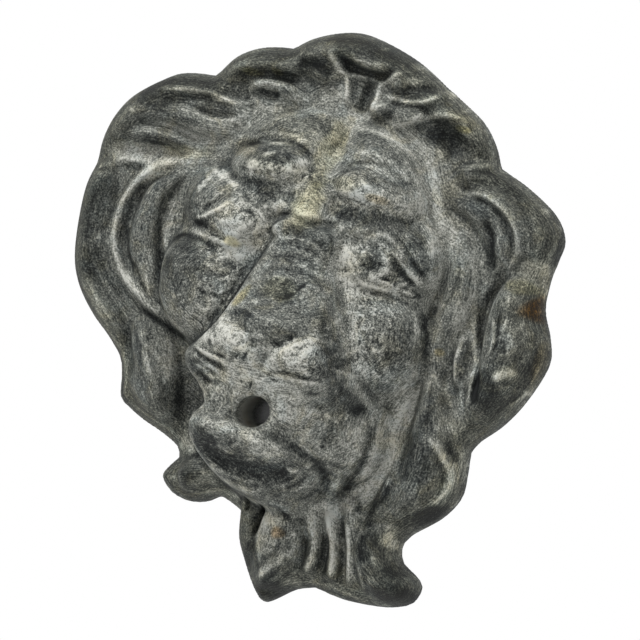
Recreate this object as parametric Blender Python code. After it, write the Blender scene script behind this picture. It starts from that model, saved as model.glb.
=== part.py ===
"""A lion's mask cast in lead, made as the spout of a wall fountain.

One hollow-backed casting: a lion's head in high relief with its mane around it, a flat rim
behind that lies against the wall, and a hole through the mouth for the water. Behind the mouth
the hole runs on through a sleeve cast in one with the mask, so that no water enters the hollow.
Metres, +Z up, the face towards -Y and the flat back on the plane y = 0. The origin is on
the back of the rim, at the top of the crown.
"""
import math

import bmesh
import bpy
import numpy as np

# Sizes of the casting, in metres and degrees
HEIGHT = 0.300
WALL = 0.0055
RIM = 0.009
HOLLOW_DEPTH = 0.054
HOLE_WIDTH = 0.0185
HOLE_HEIGHT = 0.0165
HOLE_TURN = 35.0
SLEEVE_END = 0.0025

# How finely the casting is made: the pitch of the carving in hundredths of the height, and its faces
FRONT_PITCH = 0.55
HOLLOW_PITCH = 1.0
FRONT_FACES = 6800
HOLLOW_FACES = 1500
HOLE_SIDES = 24

# The blocks reach this far behind the back plane, and their plain outer parts bow by this much
BACK = 6.0
BOW = 0.002

# The colour and surface of old lead
LEAD_COLOUR = (0.17, 0.17, 0.168, 1.0)
LEAD_ROUGHNESS = 0.62
LEAD_METALLIC = 0.55

# The carving is given in hundredths of the height: x to the right, z up, and how far it stands out.
# Limits of its sheet, the rounding of its edge, and the place of the hole
LEFT, RIGHT, BOTTOM, TOP = -49, 47, -54, 53
EDGE_ROUND, EDGE_HEIGHT = 6.0, 7.0
SPOUT_HOLE = (0.7, -17.8)


def smooth_line(points, step=0.7):
    """A smooth curve through the points, in short steps. Columns after x and z are carried along."""
    p = np.array(points, float)
    ends = np.vstack([2 * p[0] - p[1], p, 2 * p[-1] - p[-2]])
    out = []
    for before, start, stop, after in zip(ends[:-3], ends[1:-2], ends[2:-1], ends[3:]):
        count = max(2, int(math.hypot(*(stop[:2] - start[:2])) / step))
        t = (np.arange(count) / count)[:, None]
        out.append(0.5 * (2 * start + (stop - before) * t
                          + (2 * before - 5 * start + 4 * stop - after) * t ** 2
                          + (3 * start - before - 3 * stop + after) * t ** 3))
    out.append(p[-1:])
    return np.vstack(out)


class Sheet:
    """A level grid over the mask, seen from the front, that holds how far the surface stands out."""

    def __init__(self, pitch):
        self.pitch = pitch
        self.xs = np.arange(LEFT, RIGHT + pitch / 2, pitch)
        self.zs = np.arange(BOTTOM, TOP + pitch / 2, pitch)
        self.X, self.Z = np.meshgrid(self.xs, self.zs)
        self.height = np.zeros_like(self.X)
        self.relief = np.zeros_like(self.X)

    def window(self, x0, x1, z0, z1):
        """The part of the grid between these limits."""
        i = [int(np.clip((x - self.xs[0]) / self.pitch, 0, len(self.xs))) for x in (x0, x1)]
        j = [int(np.clip((z - self.zs[0]) / self.pitch, 0, len(self.zs))) for z in (z0, z1)]
        return slice(j[0], j[1] + 2), slice(i[0], i[1] + 2)

    def around(self, x, z, reach):
        """The part of the grid within reach of a point, and the offsets from it."""
        w = self.window(x - reach, x + reach, z - reach, z + reach)
        return w, self.X[w] - x, self.Z[w] - z


def segment_offset(X, Z, a, b):
    """Share along the segment a-b of the nearest point, and the offset from it."""
    dx, dz = b[0] - a[0], b[1] - a[1]
    t = np.clip(((X - a[0]) * dx + (Z - a[1]) * dz) / (dx * dx + dz * dz + 1e-12), 0, 1)
    ex, ez = X - a[0] - t * dx, Z - a[1] - t * dz
    return t, ex, ez, np.sign(dx * ez - dz * ex)


def follow(sheet, points, reach):
    """Distance from a line, the side of it, the share along it, and its carried values."""
    line = smooth_line(points)
    low, high = line[:, :2].min(0) - reach, line[:, :2].max(0) + reach
    w = sheet.window(low[0], high[0], low[1], high[1])
    X, Z = sheet.X[w], sheet.Z[w]
    nearest = np.full(X.shape, 1e9)
    side, along = np.zeros(X.shape), np.zeros(X.shape)
    carried = np.zeros(X.shape)
    last = line.shape[1] - 1
    for i, (a, b) in enumerate(zip(line[:-1], line[1:])):
        t, ex, ez, hand = segment_offset(X, Z, a, b)
        d = ex * ex + ez * ez
        closer = d < nearest
        nearest = np.where(closer, d, nearest)
        side = np.where(closer, hand, side)
        along = np.where(closer, (i + t) / (len(line) - 1), along)
        carried = np.where(closer, a[last] + (b[last] - a[last]) * t, carried)
    return w, np.sqrt(nearest), side, along, carried


def inside_distance(X, Z, loop):
    """Distance to a closed outline, positive inside it."""
    nearest = np.full(X.shape, 1e9)
    odd = np.zeros(X.shape, bool)
    for a, b in zip(loop, np.roll(loop, -1, 0)):
        _, ex, ez, _ = segment_offset(X, Z, a, b)
        nearest = np.minimum(nearest, ex * ex + ez * ez)
        rise = b[1] - a[1] if abs(b[1] - a[1]) > 1e-12 else 1e-12
        odd ^= ((a[1] > Z) != (b[1] > Z)) & (X < a[0] + (Z - a[1]) * (b[0] - a[0]) / rise)
    return np.where(odd, 1, -1) * np.sqrt(nearest)


def region(sheet, foot, pad):
    """The grid round a closed foot line, with the distance inside that line."""
    loop = smooth_line(foot + [foot[0]], 1.0)[:-1]
    low, high = loop.min(0) - pad, loop.max(0) + pad
    w = sheet.window(low[0], high[0], low[1], high[1])
    return w, sheet.X[w], sheet.Z[w], inside_distance(sheet.X[w], sheet.Z[w], loop)


def soft_max(a, b, soft):
    return 0.5 * (a + b + np.sqrt((a - b) ** 2 + soft * soft))


def soft_min(a, b, soft):
    return -soft_max(-a, -b, soft)


def join(old, new, mask, soft):
    """The higher of two reliefs, rounded where they meet, and only where the mask is."""
    k = soft * np.clip(mask * 6, 0, 1) + 1e-3
    meet = np.clip(k - np.abs(old - new), 0, None) / k
    return np.maximum(old, new) + meet * meet * k * 0.25


def lock(sheet, points, lift, lean=0.0, start=0.3, end=0.3):
    """A lock of hair along (x, z, half width) points. lean moves its crest to one side."""
    reach = 1.1 * max(point[2] for point in points)
    w, distance, side, along, width = follow(sheet, points, reach)
    u = np.clip(side * distance / np.maximum(width, 0.05), -1, 1) - lean
    u = u / (1 - lean * np.sign(u))
    ramp = np.sin(np.clip(along / start, 0, 1) * np.clip((1 - along) / end, 0, 1) * math.pi / 2)
    mask = np.clip(1 - u * u, 0, 1) * ramp
    sheet.relief[w] = join(sheet.relief[w], lift * mask, mask, 1.2)


def oval(X, Z, rx, rz, turn, square):
    """Zero at the middle of a turned oval and one at its edge."""
    c, s = math.cos(math.radians(turn)), math.sin(math.radians(turn))
    return (np.abs(X * c + Z * s) / rx) ** square + (np.abs(Z * c - X * s) / rz) ** square


def swell(sheet, x, z, rx, rz, lift, turn=0.0, square=2.0, full=0.8):
    """A rounded swelling of the face. full under 1 makes it plumper."""
    w, X, Z = sheet.around(x, z, 1.3 * max(rx, rz))
    mask = np.clip(1 - oval(X, Z, rx, rz, turn, square), 0, 1) ** full
    sheet.relief[w] = join(sheet.relief[w], lift * mask, mask, 1.0)


def boss(sheet, x, z, rx, rz, low, top, turn=0.0, full=0.5, soft=1.0):
    """A rounded lump that stands from one height to another, whatever is under it."""
    w, X, Z = sheet.around(x, z, 1.6 * max(rx, rz))
    q = oval(X, Z, rx, rz, turn, 2)
    lump = low + (top - low) * np.clip(1 - q, 0, 1) ** full - np.clip(q - 1, 0, None) * 8
    sheet.height[w] = soft_max(sheet.height[w], lump, soft)


def ridge(sheet, points, width, height):
    """A fine ridge along a line, or a groove where the height is below zero."""
    w, distance, _, along, _ = follow(sheet, points, width * 3.2)
    ramp = np.clip(along / 0.2, 0, 1) * np.clip((1 - along) / 0.2, 0, 1)
    mask = np.exp(-(distance / width) ** 2) * ramp * ramp * (3 - 2 * ramp)
    sheet.height[w] += height * mask


def dent(sheet, x, z, rx, rz, depth, turn=0.0, square=2.0):
    """A soft hollow, or a rise where the depth is below zero."""
    w, X, Z = sheet.around(x, z, 2.2 * max(rx, rz))
    mask = np.exp(-oval(X, Z, rx, rz, turn, 2) ** (square / 2))
    sheet.height[w] -= depth * mask


def soften(field, cells):
    """The field with its finest steps rounded off."""
    reach = max(1, int(round(3 * cells)))
    weight = np.exp(-0.5 * (np.arange(-reach, reach + 1) / max(cells, 0.3)) ** 2)
    weight /= weight.sum()
    for axis in (0, 1):
        pad = [(reach, reach) if i == axis else (0, 0) for i in (0, 1)]
        wide = np.pad(field, pad, mode="edge")
        length = field.shape[axis]
        field = sum(k * np.take(wide, range(i, i + length), axis) for i, k in enumerate(weight))
    return field


# The outline at the back, clockwise from the left of the crown. Each run is one smooth stretch.
CROWN = [(-16, 43.6), (-12.5, 46.5), (-7.2, 48.9), (-2.2, 49.2), (5.8, 47.3), (12.8, 43.9),
         (19.8, 40.2), (23.3, 36.7), (25.3, 33.1)]
RIGHT_SIDE = [(25.3, 33.1), (30.8, 31.2), (36.8, 27.9), (39.5, 24.2), (39.4, 20.7), (39, 16.7),
              (39.4, 11.7), (41.6, 7.2), (42.7, 2.7), (40.6, -4.3), (37.8, -9.5), (34.6, -13.3),
              (33.5, -15.5)]
RIGHT_LOCKS = [(33.5, -15.5), (34.1, -20.3), (34, -23.8), (31.8, -27.8), (27.3, -32.3), (26.3, -34.9),
               (27.3, -37.3), (29.8, -38.6), (31.6, -40.3), (30.8, -43.3), (28.3, -44.8), (24.8, -45.7),
               (18.8, -46.2), (13.3, -45.6)]
BEARD_TIP = [(13.3, -45.6), (10.3, -46.8), (7.8, -48.9), (5.8, -50.4), (4.3, -50), (2.3, -47.8),
             (-0.2, -44.1), (-2, -40.8), (-2.9, -36.3)]
JAW_CURL = [(-2.9, -36.3), (-6.2, -35.1), (-7.5, -35.1), (-8.7, -36.1), (-10.7, -37), (-13.2, -37.3),
            (-15.7, -36.7), (-17.7, -35.1), (-18.2, -33.7), (-17.2, -31.8), (-16.2, -30.3)]
LEFT_SIDE = [(-16.2, -30.3), (-17, -28.7), (-20.2, -27.2), (-24.2, -25.9), (-27.2, -24.5),
             (-29.2, -23.1), (-30.2, -18.8), (-31.2, -16.3), (-34.2, -13.5), (-38.2, -10.3),
             (-42, -5.8), (-44, -0.3), (-45.1, 9.7), (-44.6, 15.2), (-44.5, 20.7), (-41.7, 27.7),
             (-35.7, 33.3), (-32.5, 34.8), (-28, 35.5)]
LEFT_LOBE = [(-28, 35.5), (-25.2, 39.7), (-21.7, 42.2), (-18.2, 43.3), (-16, 43.6)]

# The foot of the head against the mane, and of the muzzle and jaw against the face
HEAD_FOOT = [(-1, 33.6), (-5.5, 34.4), (-10.5, 33), (-15, 30), (-19, 26.4), (-22.6, 22), (-25, 17),
             (-25.4, 12.5), (-24.6, 9.4), (-26, 5), (-26, 0), (-24.4, -4.5), (-20, -9), (-12, -13),
             (0, -15), (14, -14), (19.5, -10.4), (22.2, -5), (23.2, 0), (22.8, 4), (21.4, 8), (22, 12),
             (21.6, 15.5), (19.8, 18.8), (17.2, 22), (15.2, 26), (12.4, 29.8), (9, 32.8), (5, 34.4),
             (1.5, 34)]
MUZZLE_FOOT = [(-5.6, 15), (-6.9, 10), (-8.5, 5), (-9.9, 0), (-11.3, -4), (-13.2, -7.2), (-15.2, -10),
               (-15.4, -12.6), (-13.8, -15), (-11.4, -16.8), (-10.2, -18.6), (-11.2, -20.4),
               (-11.6, -22.6), (-10.8, -25.4), (-8.6, -28), (-5, -30.4), (0, -32.2), (5, -33.2),
               (10, -33), (14, -31), (17, -27.6), (18.8, -23.4), (19.6, -19), (19.4, -15.6),
               (18, -12.8), (15.4, -9.4), (12.4, -5), (10.6, -1), (7.6, 5), (5.2, 10), (4, 15)]

# The line of the nose, lips and chin seen from the side: height up the face, and how far it stands out
NOSE_LINE = [(-35, 20), (-32, 24), (-29, 27.2), (-26, 29.4), (-23.8, 31.4), (-22, 31.8), (-20.4, 30.6),
             (-18, 29.4), (-15, 29.8), (-12, 31), (-9.6, 32.4), (-8, 33.4), (-6, 33.8), (-3, 33.6),
             (-1, 32.2), (2, 29.2), (6, 25.8), (10, 22.8), (14, 20.4), (18, 18)]


def outline():
    """The closed outline of the mask at its back."""
    runs = (CROWN, RIGHT_SIDE, RIGHT_LOCKS, BEARD_TIP, JAW_CURL, LEFT_SIDE, LEFT_LOBE)
    return np.vstack([smooth_line(run, 1.0)[:-1] for run in runs])


def carve_ground(sheet):
    """The rim, rounded up from the wall, and the slow rise of the mane towards the head."""
    edge = np.clip(sheet.edge / EDGE_ROUND, 0, 1)
    rise = ((sheet.X + 1) / 33) ** 2 + ((sheet.Z - 6) / 36) ** 2
    ground = EDGE_HEIGHT * np.sqrt(1 - (1 - edge) ** 2) + 1.6 * np.clip(1 - rise, 0, 1)
    sheet.height = np.minimum(ground, np.maximum(12 * sheet.edge, -4))


def carve_crown(sheet):
    """The rolled tuft over the forehead and the lobe to its left."""
    lock(sheet, [(-14.5, 41.5, 2.5), (-10.5, 44.4, 3.6), (-5, 46.4, 3.6), (0, 46.9, 3.8), (7, 45.6, 4),
                 (13, 43, 4.4), (19, 40, 4.6), (23.4, 36.6, 3.6), (25.4, 33.6, 1.8)], 4.2, start=0.1,
         end=0.15)
    lock(sheet, [(-14.2, 41, 1.6), (-10.5, 42.2, 3), (-7, 41.4, 2.6), (-4.4, 41, 1.2)], 3.2)
    lock(sheet, [(3.6, 41.6, 1.6), (8, 43.2, 2.8), (12.5, 43.2, 2.2)], 3.4)
    lock(sheet, [(2, 36.4, 1.4), (4.4, 38, 1.8), (6.4, 38.6, 1.2)], 1.8)
    lock(sheet, [(5.4, 37, 1.4), (8.5, 38.4, 2.2), (12, 39.2, 1.2)], 2.4)
    lock(sheet, [(-26.5, 35, 1.8), (-22, 39, 3.6), (-16.5, 41, 3.8), (-11, 40.6, 2.2)], 3.8)
    lock(sheet, [(-21, 35, 1.2), (-17, 36.2, 1.9), (-13, 36.4, 1.9), (-9, 35, 1.2)], 1.8)
    lock(sheet, [(11.4, 36.4, 0.8), (15, 37.8, 2.2), (19, 37.6, 2.9), (22, 34.2, 1.4)], 1.2)


def carve_left_mane(sheet):
    """Rolls that sweep in to the forehead, the long side roll, and the leaf locks beside it."""
    lock(sheet, [(-42.5, 19, 2.6), (-40.6, 25, 3.8), (-36, 31, 4), (-29, 33.8, 3), (-21, 33.8, 1.8)], 3.4,
         start=0.15)
    lock(sheet, [(-34, 29.6, 1.2), (-29, 30.6, 1.9), (-24.5, 30.8, 1.9), (-18.5, 30.8, 1.2)], 2.2)
    lock(sheet, [(-40, 23.4, 1.6), (-35.5, 26.6, 2.6), (-30, 27, 2.2), (-25, 26.4, 1.8),
                 (-20, 27.2, 1.2)], 2.4)
    lock(sheet, [(-40, 20.4, 1.2), (-36, 22.4, 2.2), (-31, 22.8, 1.9), (-26.6, 22.4, 1)], 1.8)
    lock(sheet, [(-41, 16.6, 1.6), (-42, 12, 3.8), (-42, 6, 4.8), (-40.6, 0, 5), (-37, -6, 4.4),
                 (-32, -10.5, 3.2), (-27, -15, 2)], 4.2, lean=-0.1, start=0.12)
    lock(sheet, [(-26.8, 18.8, 0.4), (-30, 14.5, 2.2), (-31.6, 8, 3.4), (-30.6, 2, 3.6), (-27.6, -3, 2.8),
                 (-23.5, -7, 1.2)], 3.0, lean=0.3)
    lock(sheet, [(-39, -5, 2), (-34.5, -10.5, 2.8), (-29.5, -15.5, 2.8), (-27, -20, 2)], 2.0)
    lock(sheet, [(-28.5, -8, 1.4), (-25.5, -12, 4.4), (-23.2, -17, 5), (-20.5, -22, 4.4),
                 (-17, -25, 2.4)], 4.6, start=0.25)
    lock(sheet, [(-5, -31, 4), (-10, -32.2, 4.4), (-14, -33.6, 2.8)], 3.4, end=0.15)


def carve_right_mane(sheet):
    """The ear-like curl, the egg-shaped knob, and the locks that run down beside the cheek."""
    lock(sheet, [(19.6, 30, 1.4), (23.5, 30.8, 3.2), (29, 30, 4.4), (34.6, 26.6, 5), (37.8, 21.5, 4.4),
                 (38.4, 17, 2)], 4.4, start=0.2)
    lock(sheet, [(19.6, 25.4, 1), (24, 25.6, 2.6), (28.4, 24, 4), (31, 20, 3.4), (30.6, 15, 1.2)], 3.2,
         lean=-0.1)
    lock(sheet, [(35, 17.6, 3), (36.6, 11, 6.2), (37.2, 4, 6.8), (36.8, -3, 6.2), (35, -9, 4.2),
                 (33, -13, 2)], 6.0, start=0.2, end=0.35)
    lock(sheet, [(32.4, 12, 0.6), (32.6, 6, 1.5), (33.2, 1, 0.8)], 1.6)
    lock(sheet, [(28.6, 4, 0.5), (29.5, -1, 1.7), (31, -7, 0.7)], 2.2)
    lock(sheet, [(22.6, 19.4, 1.2), (25, 14.5, 2.8), (25.6, 9, 3), (25, 2, 2.6), (26, -4, 1.6)], 2.8)
    lock(sheet, [(24.6, -4, 1.4), (26.4, -11, 3.2), (28, -18, 4.4), (27.4, -26, 4.4), (23.5, -33, 2.4)],
         4.2)
    lock(sheet, [(30, -5, 1.2), (32.6, -11, 2.6), (34.4, -18, 2.4), (33.4, -25, 2.8), (28.5, -31, 2)],
         3.0)
    lock(sheet, [(22.6, -22, 0.8), (22.4, -27, 1.6), (20.6, -32, 1.2)], 2.2)


def carve_beard(sheet):
    """The strap, the leaf and the flutes below the chin, and the curl at the right."""
    lock(sheet, [(-1.4, -32, 2), (-0.9, -38, 2.6), (3, -44, 2.4)], 1.6)
    lock(sheet, [(4.4, -31, 2.6), (6.6, -37, 4.8), (6.4, -42.5, 4.6), (6.6, -48, 3)], 4.0, end=0.1)
    lock(sheet, [(9.8, -31, 2), (12.6, -38, 2.2), (12.2, -44, 2.2)], 2.4)
    lock(sheet, [(13.5, -30, 1.6), (16.4, -38, 1.9), (16.4, -44, 1.8)], 2.2)
    lock(sheet, [(16.5, -28, 1.5), (19.8, -36, 2), (21.4, -43, 2.2)], 2.2)
    lock(sheet, [(20.5, -32, 2.2), (23.5, -37.6, 3.8), (27.6, -41, 4.8), (32, -40.8, 2.8)], 5.0, end=0.12)


def carve_head(sheet):
    """The skull, with the forehead, brows, temples, eyes and cheeks swelling from it."""
    w, X, Z, inside = region(sheet, HEAD_FOOT, 6)
    rise = np.clip(inside / 9.0, -2, 1)
    plump = np.where(rise > 0, np.sqrt(np.clip(1 - (1 - rise) ** 2, 0, 1)), 4 * rise)
    gentle = np.where(rise > 0, rise * rise * (3 - 2 * rise), 5 * rise)
    # the brow of the head rises gently out of the mane, the cheeks stand over it
    share = np.clip((Z - 8) / 14, 0, 1) * np.clip(1 - (X - 2) / 16, 0.2, 1)
    skull = 8.6 + 6.0 * (plump * (1 - share) + gentle * share)
    sheet.relief[:] = 0
    swell(sheet, 1.0, 1.0, 17, 17, 3.2, full=1)
    swell(sheet, -9.6, 28.8, 8.6, 5.4, 2.6, turn=26)
    swell(sheet, 7.8, 28.8, 9.4, 5.8, 3.2, turn=-28)
    swell(sheet, -11.4, 23.4, 7.8, 4.2, 5.4, turn=10, full=0.7)
    swell(sheet, 8.4, 23.8, 8.6, 4.2, 5.8, turn=-4, full=0.7)
    swell(sheet, -8.6, 18.4, 6.4, 4.8, 3.4, turn=8, full=1)
    swell(sheet, 8.6, 18.2, 7.6, 4.6, 3.4, turn=-4, full=1)
    swell(sheet, -1.8, 18.8, 4.4, 6.6, 3.6)
    swell(sheet, -20.4, 15.4, 4.4, 6.2, 2.8, turn=-14)
    swell(sheet, 18.4, 15.4, 4.4, 6.6, 3.0, turn=14)
    swell(sheet, -14.2, 13.2, 8.6, 7.0, 3.4, turn=14, full=0.9)
    swell(sheet, 11.6, 12.2, 7.4, 4.8, 2.0)
    swell(sheet, -17.4, -0.6, 9.6, 8.8, 3.6, turn=-12, square=2.5, full=0.7)
    swell(sheet, 15.4, -1.4, 9.4, 9.0, 3.6, turn=-8, square=2.2, full=0.9)
    sheet.height[w] = soft_max(sheet.height[w], skull + sheet.relief[w], 0.8)


def carve_muzzle(sheet):
    """The nose, lips, jaw and jowl: one block with steep flanks under a rounded top."""
    w, X, Z, inside = region(sheet, MUZZLE_FOOT, 5)
    line = smooth_line(NOSE_LINE, 0.4)
    top = np.interp(Z, line[:, 0], line[:, 1])
    middle = np.interp(Z, [-30, -22, -12, 0, 14], [0.5, 0.2, 0.8, 0.4, -0.9])
    half = np.interp(Z, [-32, -24, -18, -12, -6, 0, 14], [8, 10, 11, 13, 11.4, 8.6, 4.6])
    fall = np.interp(Z, [-20, -12, -8, 0, 14], [1.8, 1.8, 2.6, 3.4, 1.6])
    top = top - fall * (np.abs(X - middle) / half) ** 2.4
    # below the nose the right side falls away over the lips and the jaw to the jowl
    start = np.interp(Z, [-32, -27, -20, -14, -9, -6], [2, 2.5, 4.5, 7, 11, 14])
    slope = np.interp(Z, [-32, -27, -20, -14, -10, -6], [1.0, 0.95, 0.85, 1.1, 1.2, 0.6])
    top = top - np.clip(X - start, 0, None) * slope
    jowl = np.clip((X - 4) / 9, 0, 1) * np.clip((-9 - Z) / 6, 0, 1)
    wall = (18 - 7.0 * jowl) + (6.0 - 3.8 * jowl) * inside
    sheet.height[w] = soft_max(sheet.height[w], soft_min(top, wall, 3.0), 0.8)
    # two small lumps at the root of the nose, and the full jowl below the corner of the mouth
    boss(sheet, -4.6, 13.4, 3.0, 2.7, 13, 21.2, soft=0.6)
    boss(sheet, 2.4, 13.4, 3.0, 2.7, 13, 21.2, soft=0.6)
    dent(sheet, 15.2, -19.6, 3.8, 5.4, -1.6)
    dent(sheet, 15.8, -12.8, 2.4, 1.4, 1.6, turn=-30)


def cut_face(sheet):
    """Brow ledges, eyelids, nose leather, whisker wrinkles and the lips."""
    dent(sheet, -1.2, 29.5, 1.7, 5.5, 1.5)
    ridge(sheet, [(-17, 21.4), (-13, 20.8), (-8, 20.4), (-5, 21.4)], 1.1, -0.9)
    ridge(sheet, [(0.6, 21.4), (5, 20.8), (9.5, 21.0), (14.6, 20.6), (17, 19.4)], 1.1, -1.0)
    ridge(sheet, [(-18.5, 23.5), (-15, 26.6), (-10, 28.2), (-5.4, 27.0), (-2.8, 23.6)], 0.7, -0.8)
    ridge(sheet, [(0.6, 22.6), (2.4, 26.2), (6.4, 28.2), (11, 27), (15, 23.4)], 0.7, -0.8)
    # the left eye: upper lid, lower lid and the fold under it
    ridge(sheet, [(-22, 10.4), (-18, 12.4), (-15, 15.6)], 0.5, 0.6)
    ridge(sheet, [(-22.6, 9.1), (-17.5, 8.6), (-13, 7.2), (-10.5, 5.6)], 0.7, 0.7)
    ridge(sheet, [(-22.6, 10.4), (-18.5, 10.0), (-14, 8.8)], 0.6, -0.8)
    dent(sheet, -11.6, 12.6, 2.6, 2.3, -1.0, turn=10)
    # the right eye
    for turn in range(0, 330, 30):
        a, b = math.radians(turn), math.radians(turn + 42)
        ridge(sheet, [(11.3 + 3.1 * math.cos(c), 12.6 + 2.9 * math.sin(c)) for c in (a, (a + b) / 2, b)],
              0.6, 0.45)
    dent(sheet, 11.3, 12.6, 1.9, 1.7, -0.9)
    ridge(sheet, [(5.6, 14), (8.4, 16.4), (12, 17.2), (14.6, 15.8), (17.4, 13), (21, 9.6)], 0.6, 0.7)
    dent(sheet, 16.2, 11.2, 2.2, 1.2, 0.8, turn=-35)
    ridge(sheet, [(7.4, 8.8), (12, 9.0), (17, 9.4), (20.6, 8.8)], 0.6, 0.7)
    ridge(sheet, [(9, 7.4), (14, 8.0), (18.4, 8.0), (21.2, 7.6)], 0.5, 0.5)
    ridge(sheet, [(7.4, 6.4), (13, 6.8), (19.5, 6.8)], 0.6, -0.6)
    # nose leather and the pads under it
    ridge(sheet, [(-9.5, -1.0), (-7.4, -3.2), (-4, -4.2), (-1.2, -6.2), (0.8, -8.2), (2.8, -5.6),
                  (5.2, -3.4), (8.8, -1.6)], 1.0, -1.2)
    ridge(sheet, [(0.8, -5), (0.8, -8), (0.7, -11)], 0.9, -0.9)
    ridge(sheet, [(-7.2, 14.6), (-4.4, 16.2), (-1.2, 15.6), (2.2, 16.2), (4.8, 14.6)], 0.7, -1.0)
    dent(sheet, -5.6, -6.8, 4.2, 2.8, -1.0)
    dent(sheet, 7.0, -6.4, 4.2, 2.9, -1.0)
    dent(sheet, 0.4, -1.4, 4.6, 2.0, -0.7)
    ridge(sheet, [(-6.4, 0.8), (-2, 2.4), (2, 2.6), (5, 1.2)], 0.8, -0.6)
    ridge(sheet, [(-4.4, 4.4), (0, 5.2), (3.6, 4.2)], 0.5, -0.3)
    ridge(sheet, [(3.4, -9.6), (8, -9.9), (12.4, -9.2)], 0.4, -0.7)
    for row, (reach, bend) in enumerate(((0.0, 0.3), (0.9, 0.0), (1.9, -0.3))):
        down = 1.55 * row
        ridge(sheet, [(-13 + reach, -9.2 - down), (-9.4, -10.3 - down),
                      (-4.6 - reach, -11.4 - down + bend)], 0.5, 0.6)
        ridge(sheet, [(-12.4 + reach, -10.1 - down), (-9, -11.0 - down),
                      (-5.4 - reach, -11.9 - down + bend)], 0.5, -0.6)
        ridge(sheet, [(3.8 + reach, -11.2 - down), (7.6, -11.5 - down + bend),
                      (11.6 - reach, -10.4 - down)], 0.45, -0.45)
    # lips and chin
    ridge(sheet, [(-11.2, -18.4), (-8, -18.8), (-4.5, -19.6)], 0.9, -1.0)
    ridge(sheet, [(4.4, -18.8), (8, -19.8), (11.4, -21.6), (13.2, -25), (12.6, -28.8), (10, -31.6)], 1.2,
          -1.8)
    dent(sheet, *SPOUT_HOLE, 3.7, 3.0, 1.0, turn=35, square=4)
    ridge(sheet, [(-9.4, -22.4), (-5, -21.4), (0, -21.8), (4.6, -23.2), (8.4, -24.8)], 1.6, 1.1)
    ridge(sheet, [(-8, -25), (-4, -26.8), (1, -27.4), (6, -27.2), (10, -26)], 1.8, -1.6)
    ridge(sheet, [(-6, -29.4), (0, -30.6), (6, -30.4)], 1.6, 0.6)
    ridge(sheet, [(18.6, -13), (20, -17), (19.8, -21.6), (17.8, -26.6), (14, -30.6)], 1.2, -1.2)


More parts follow.
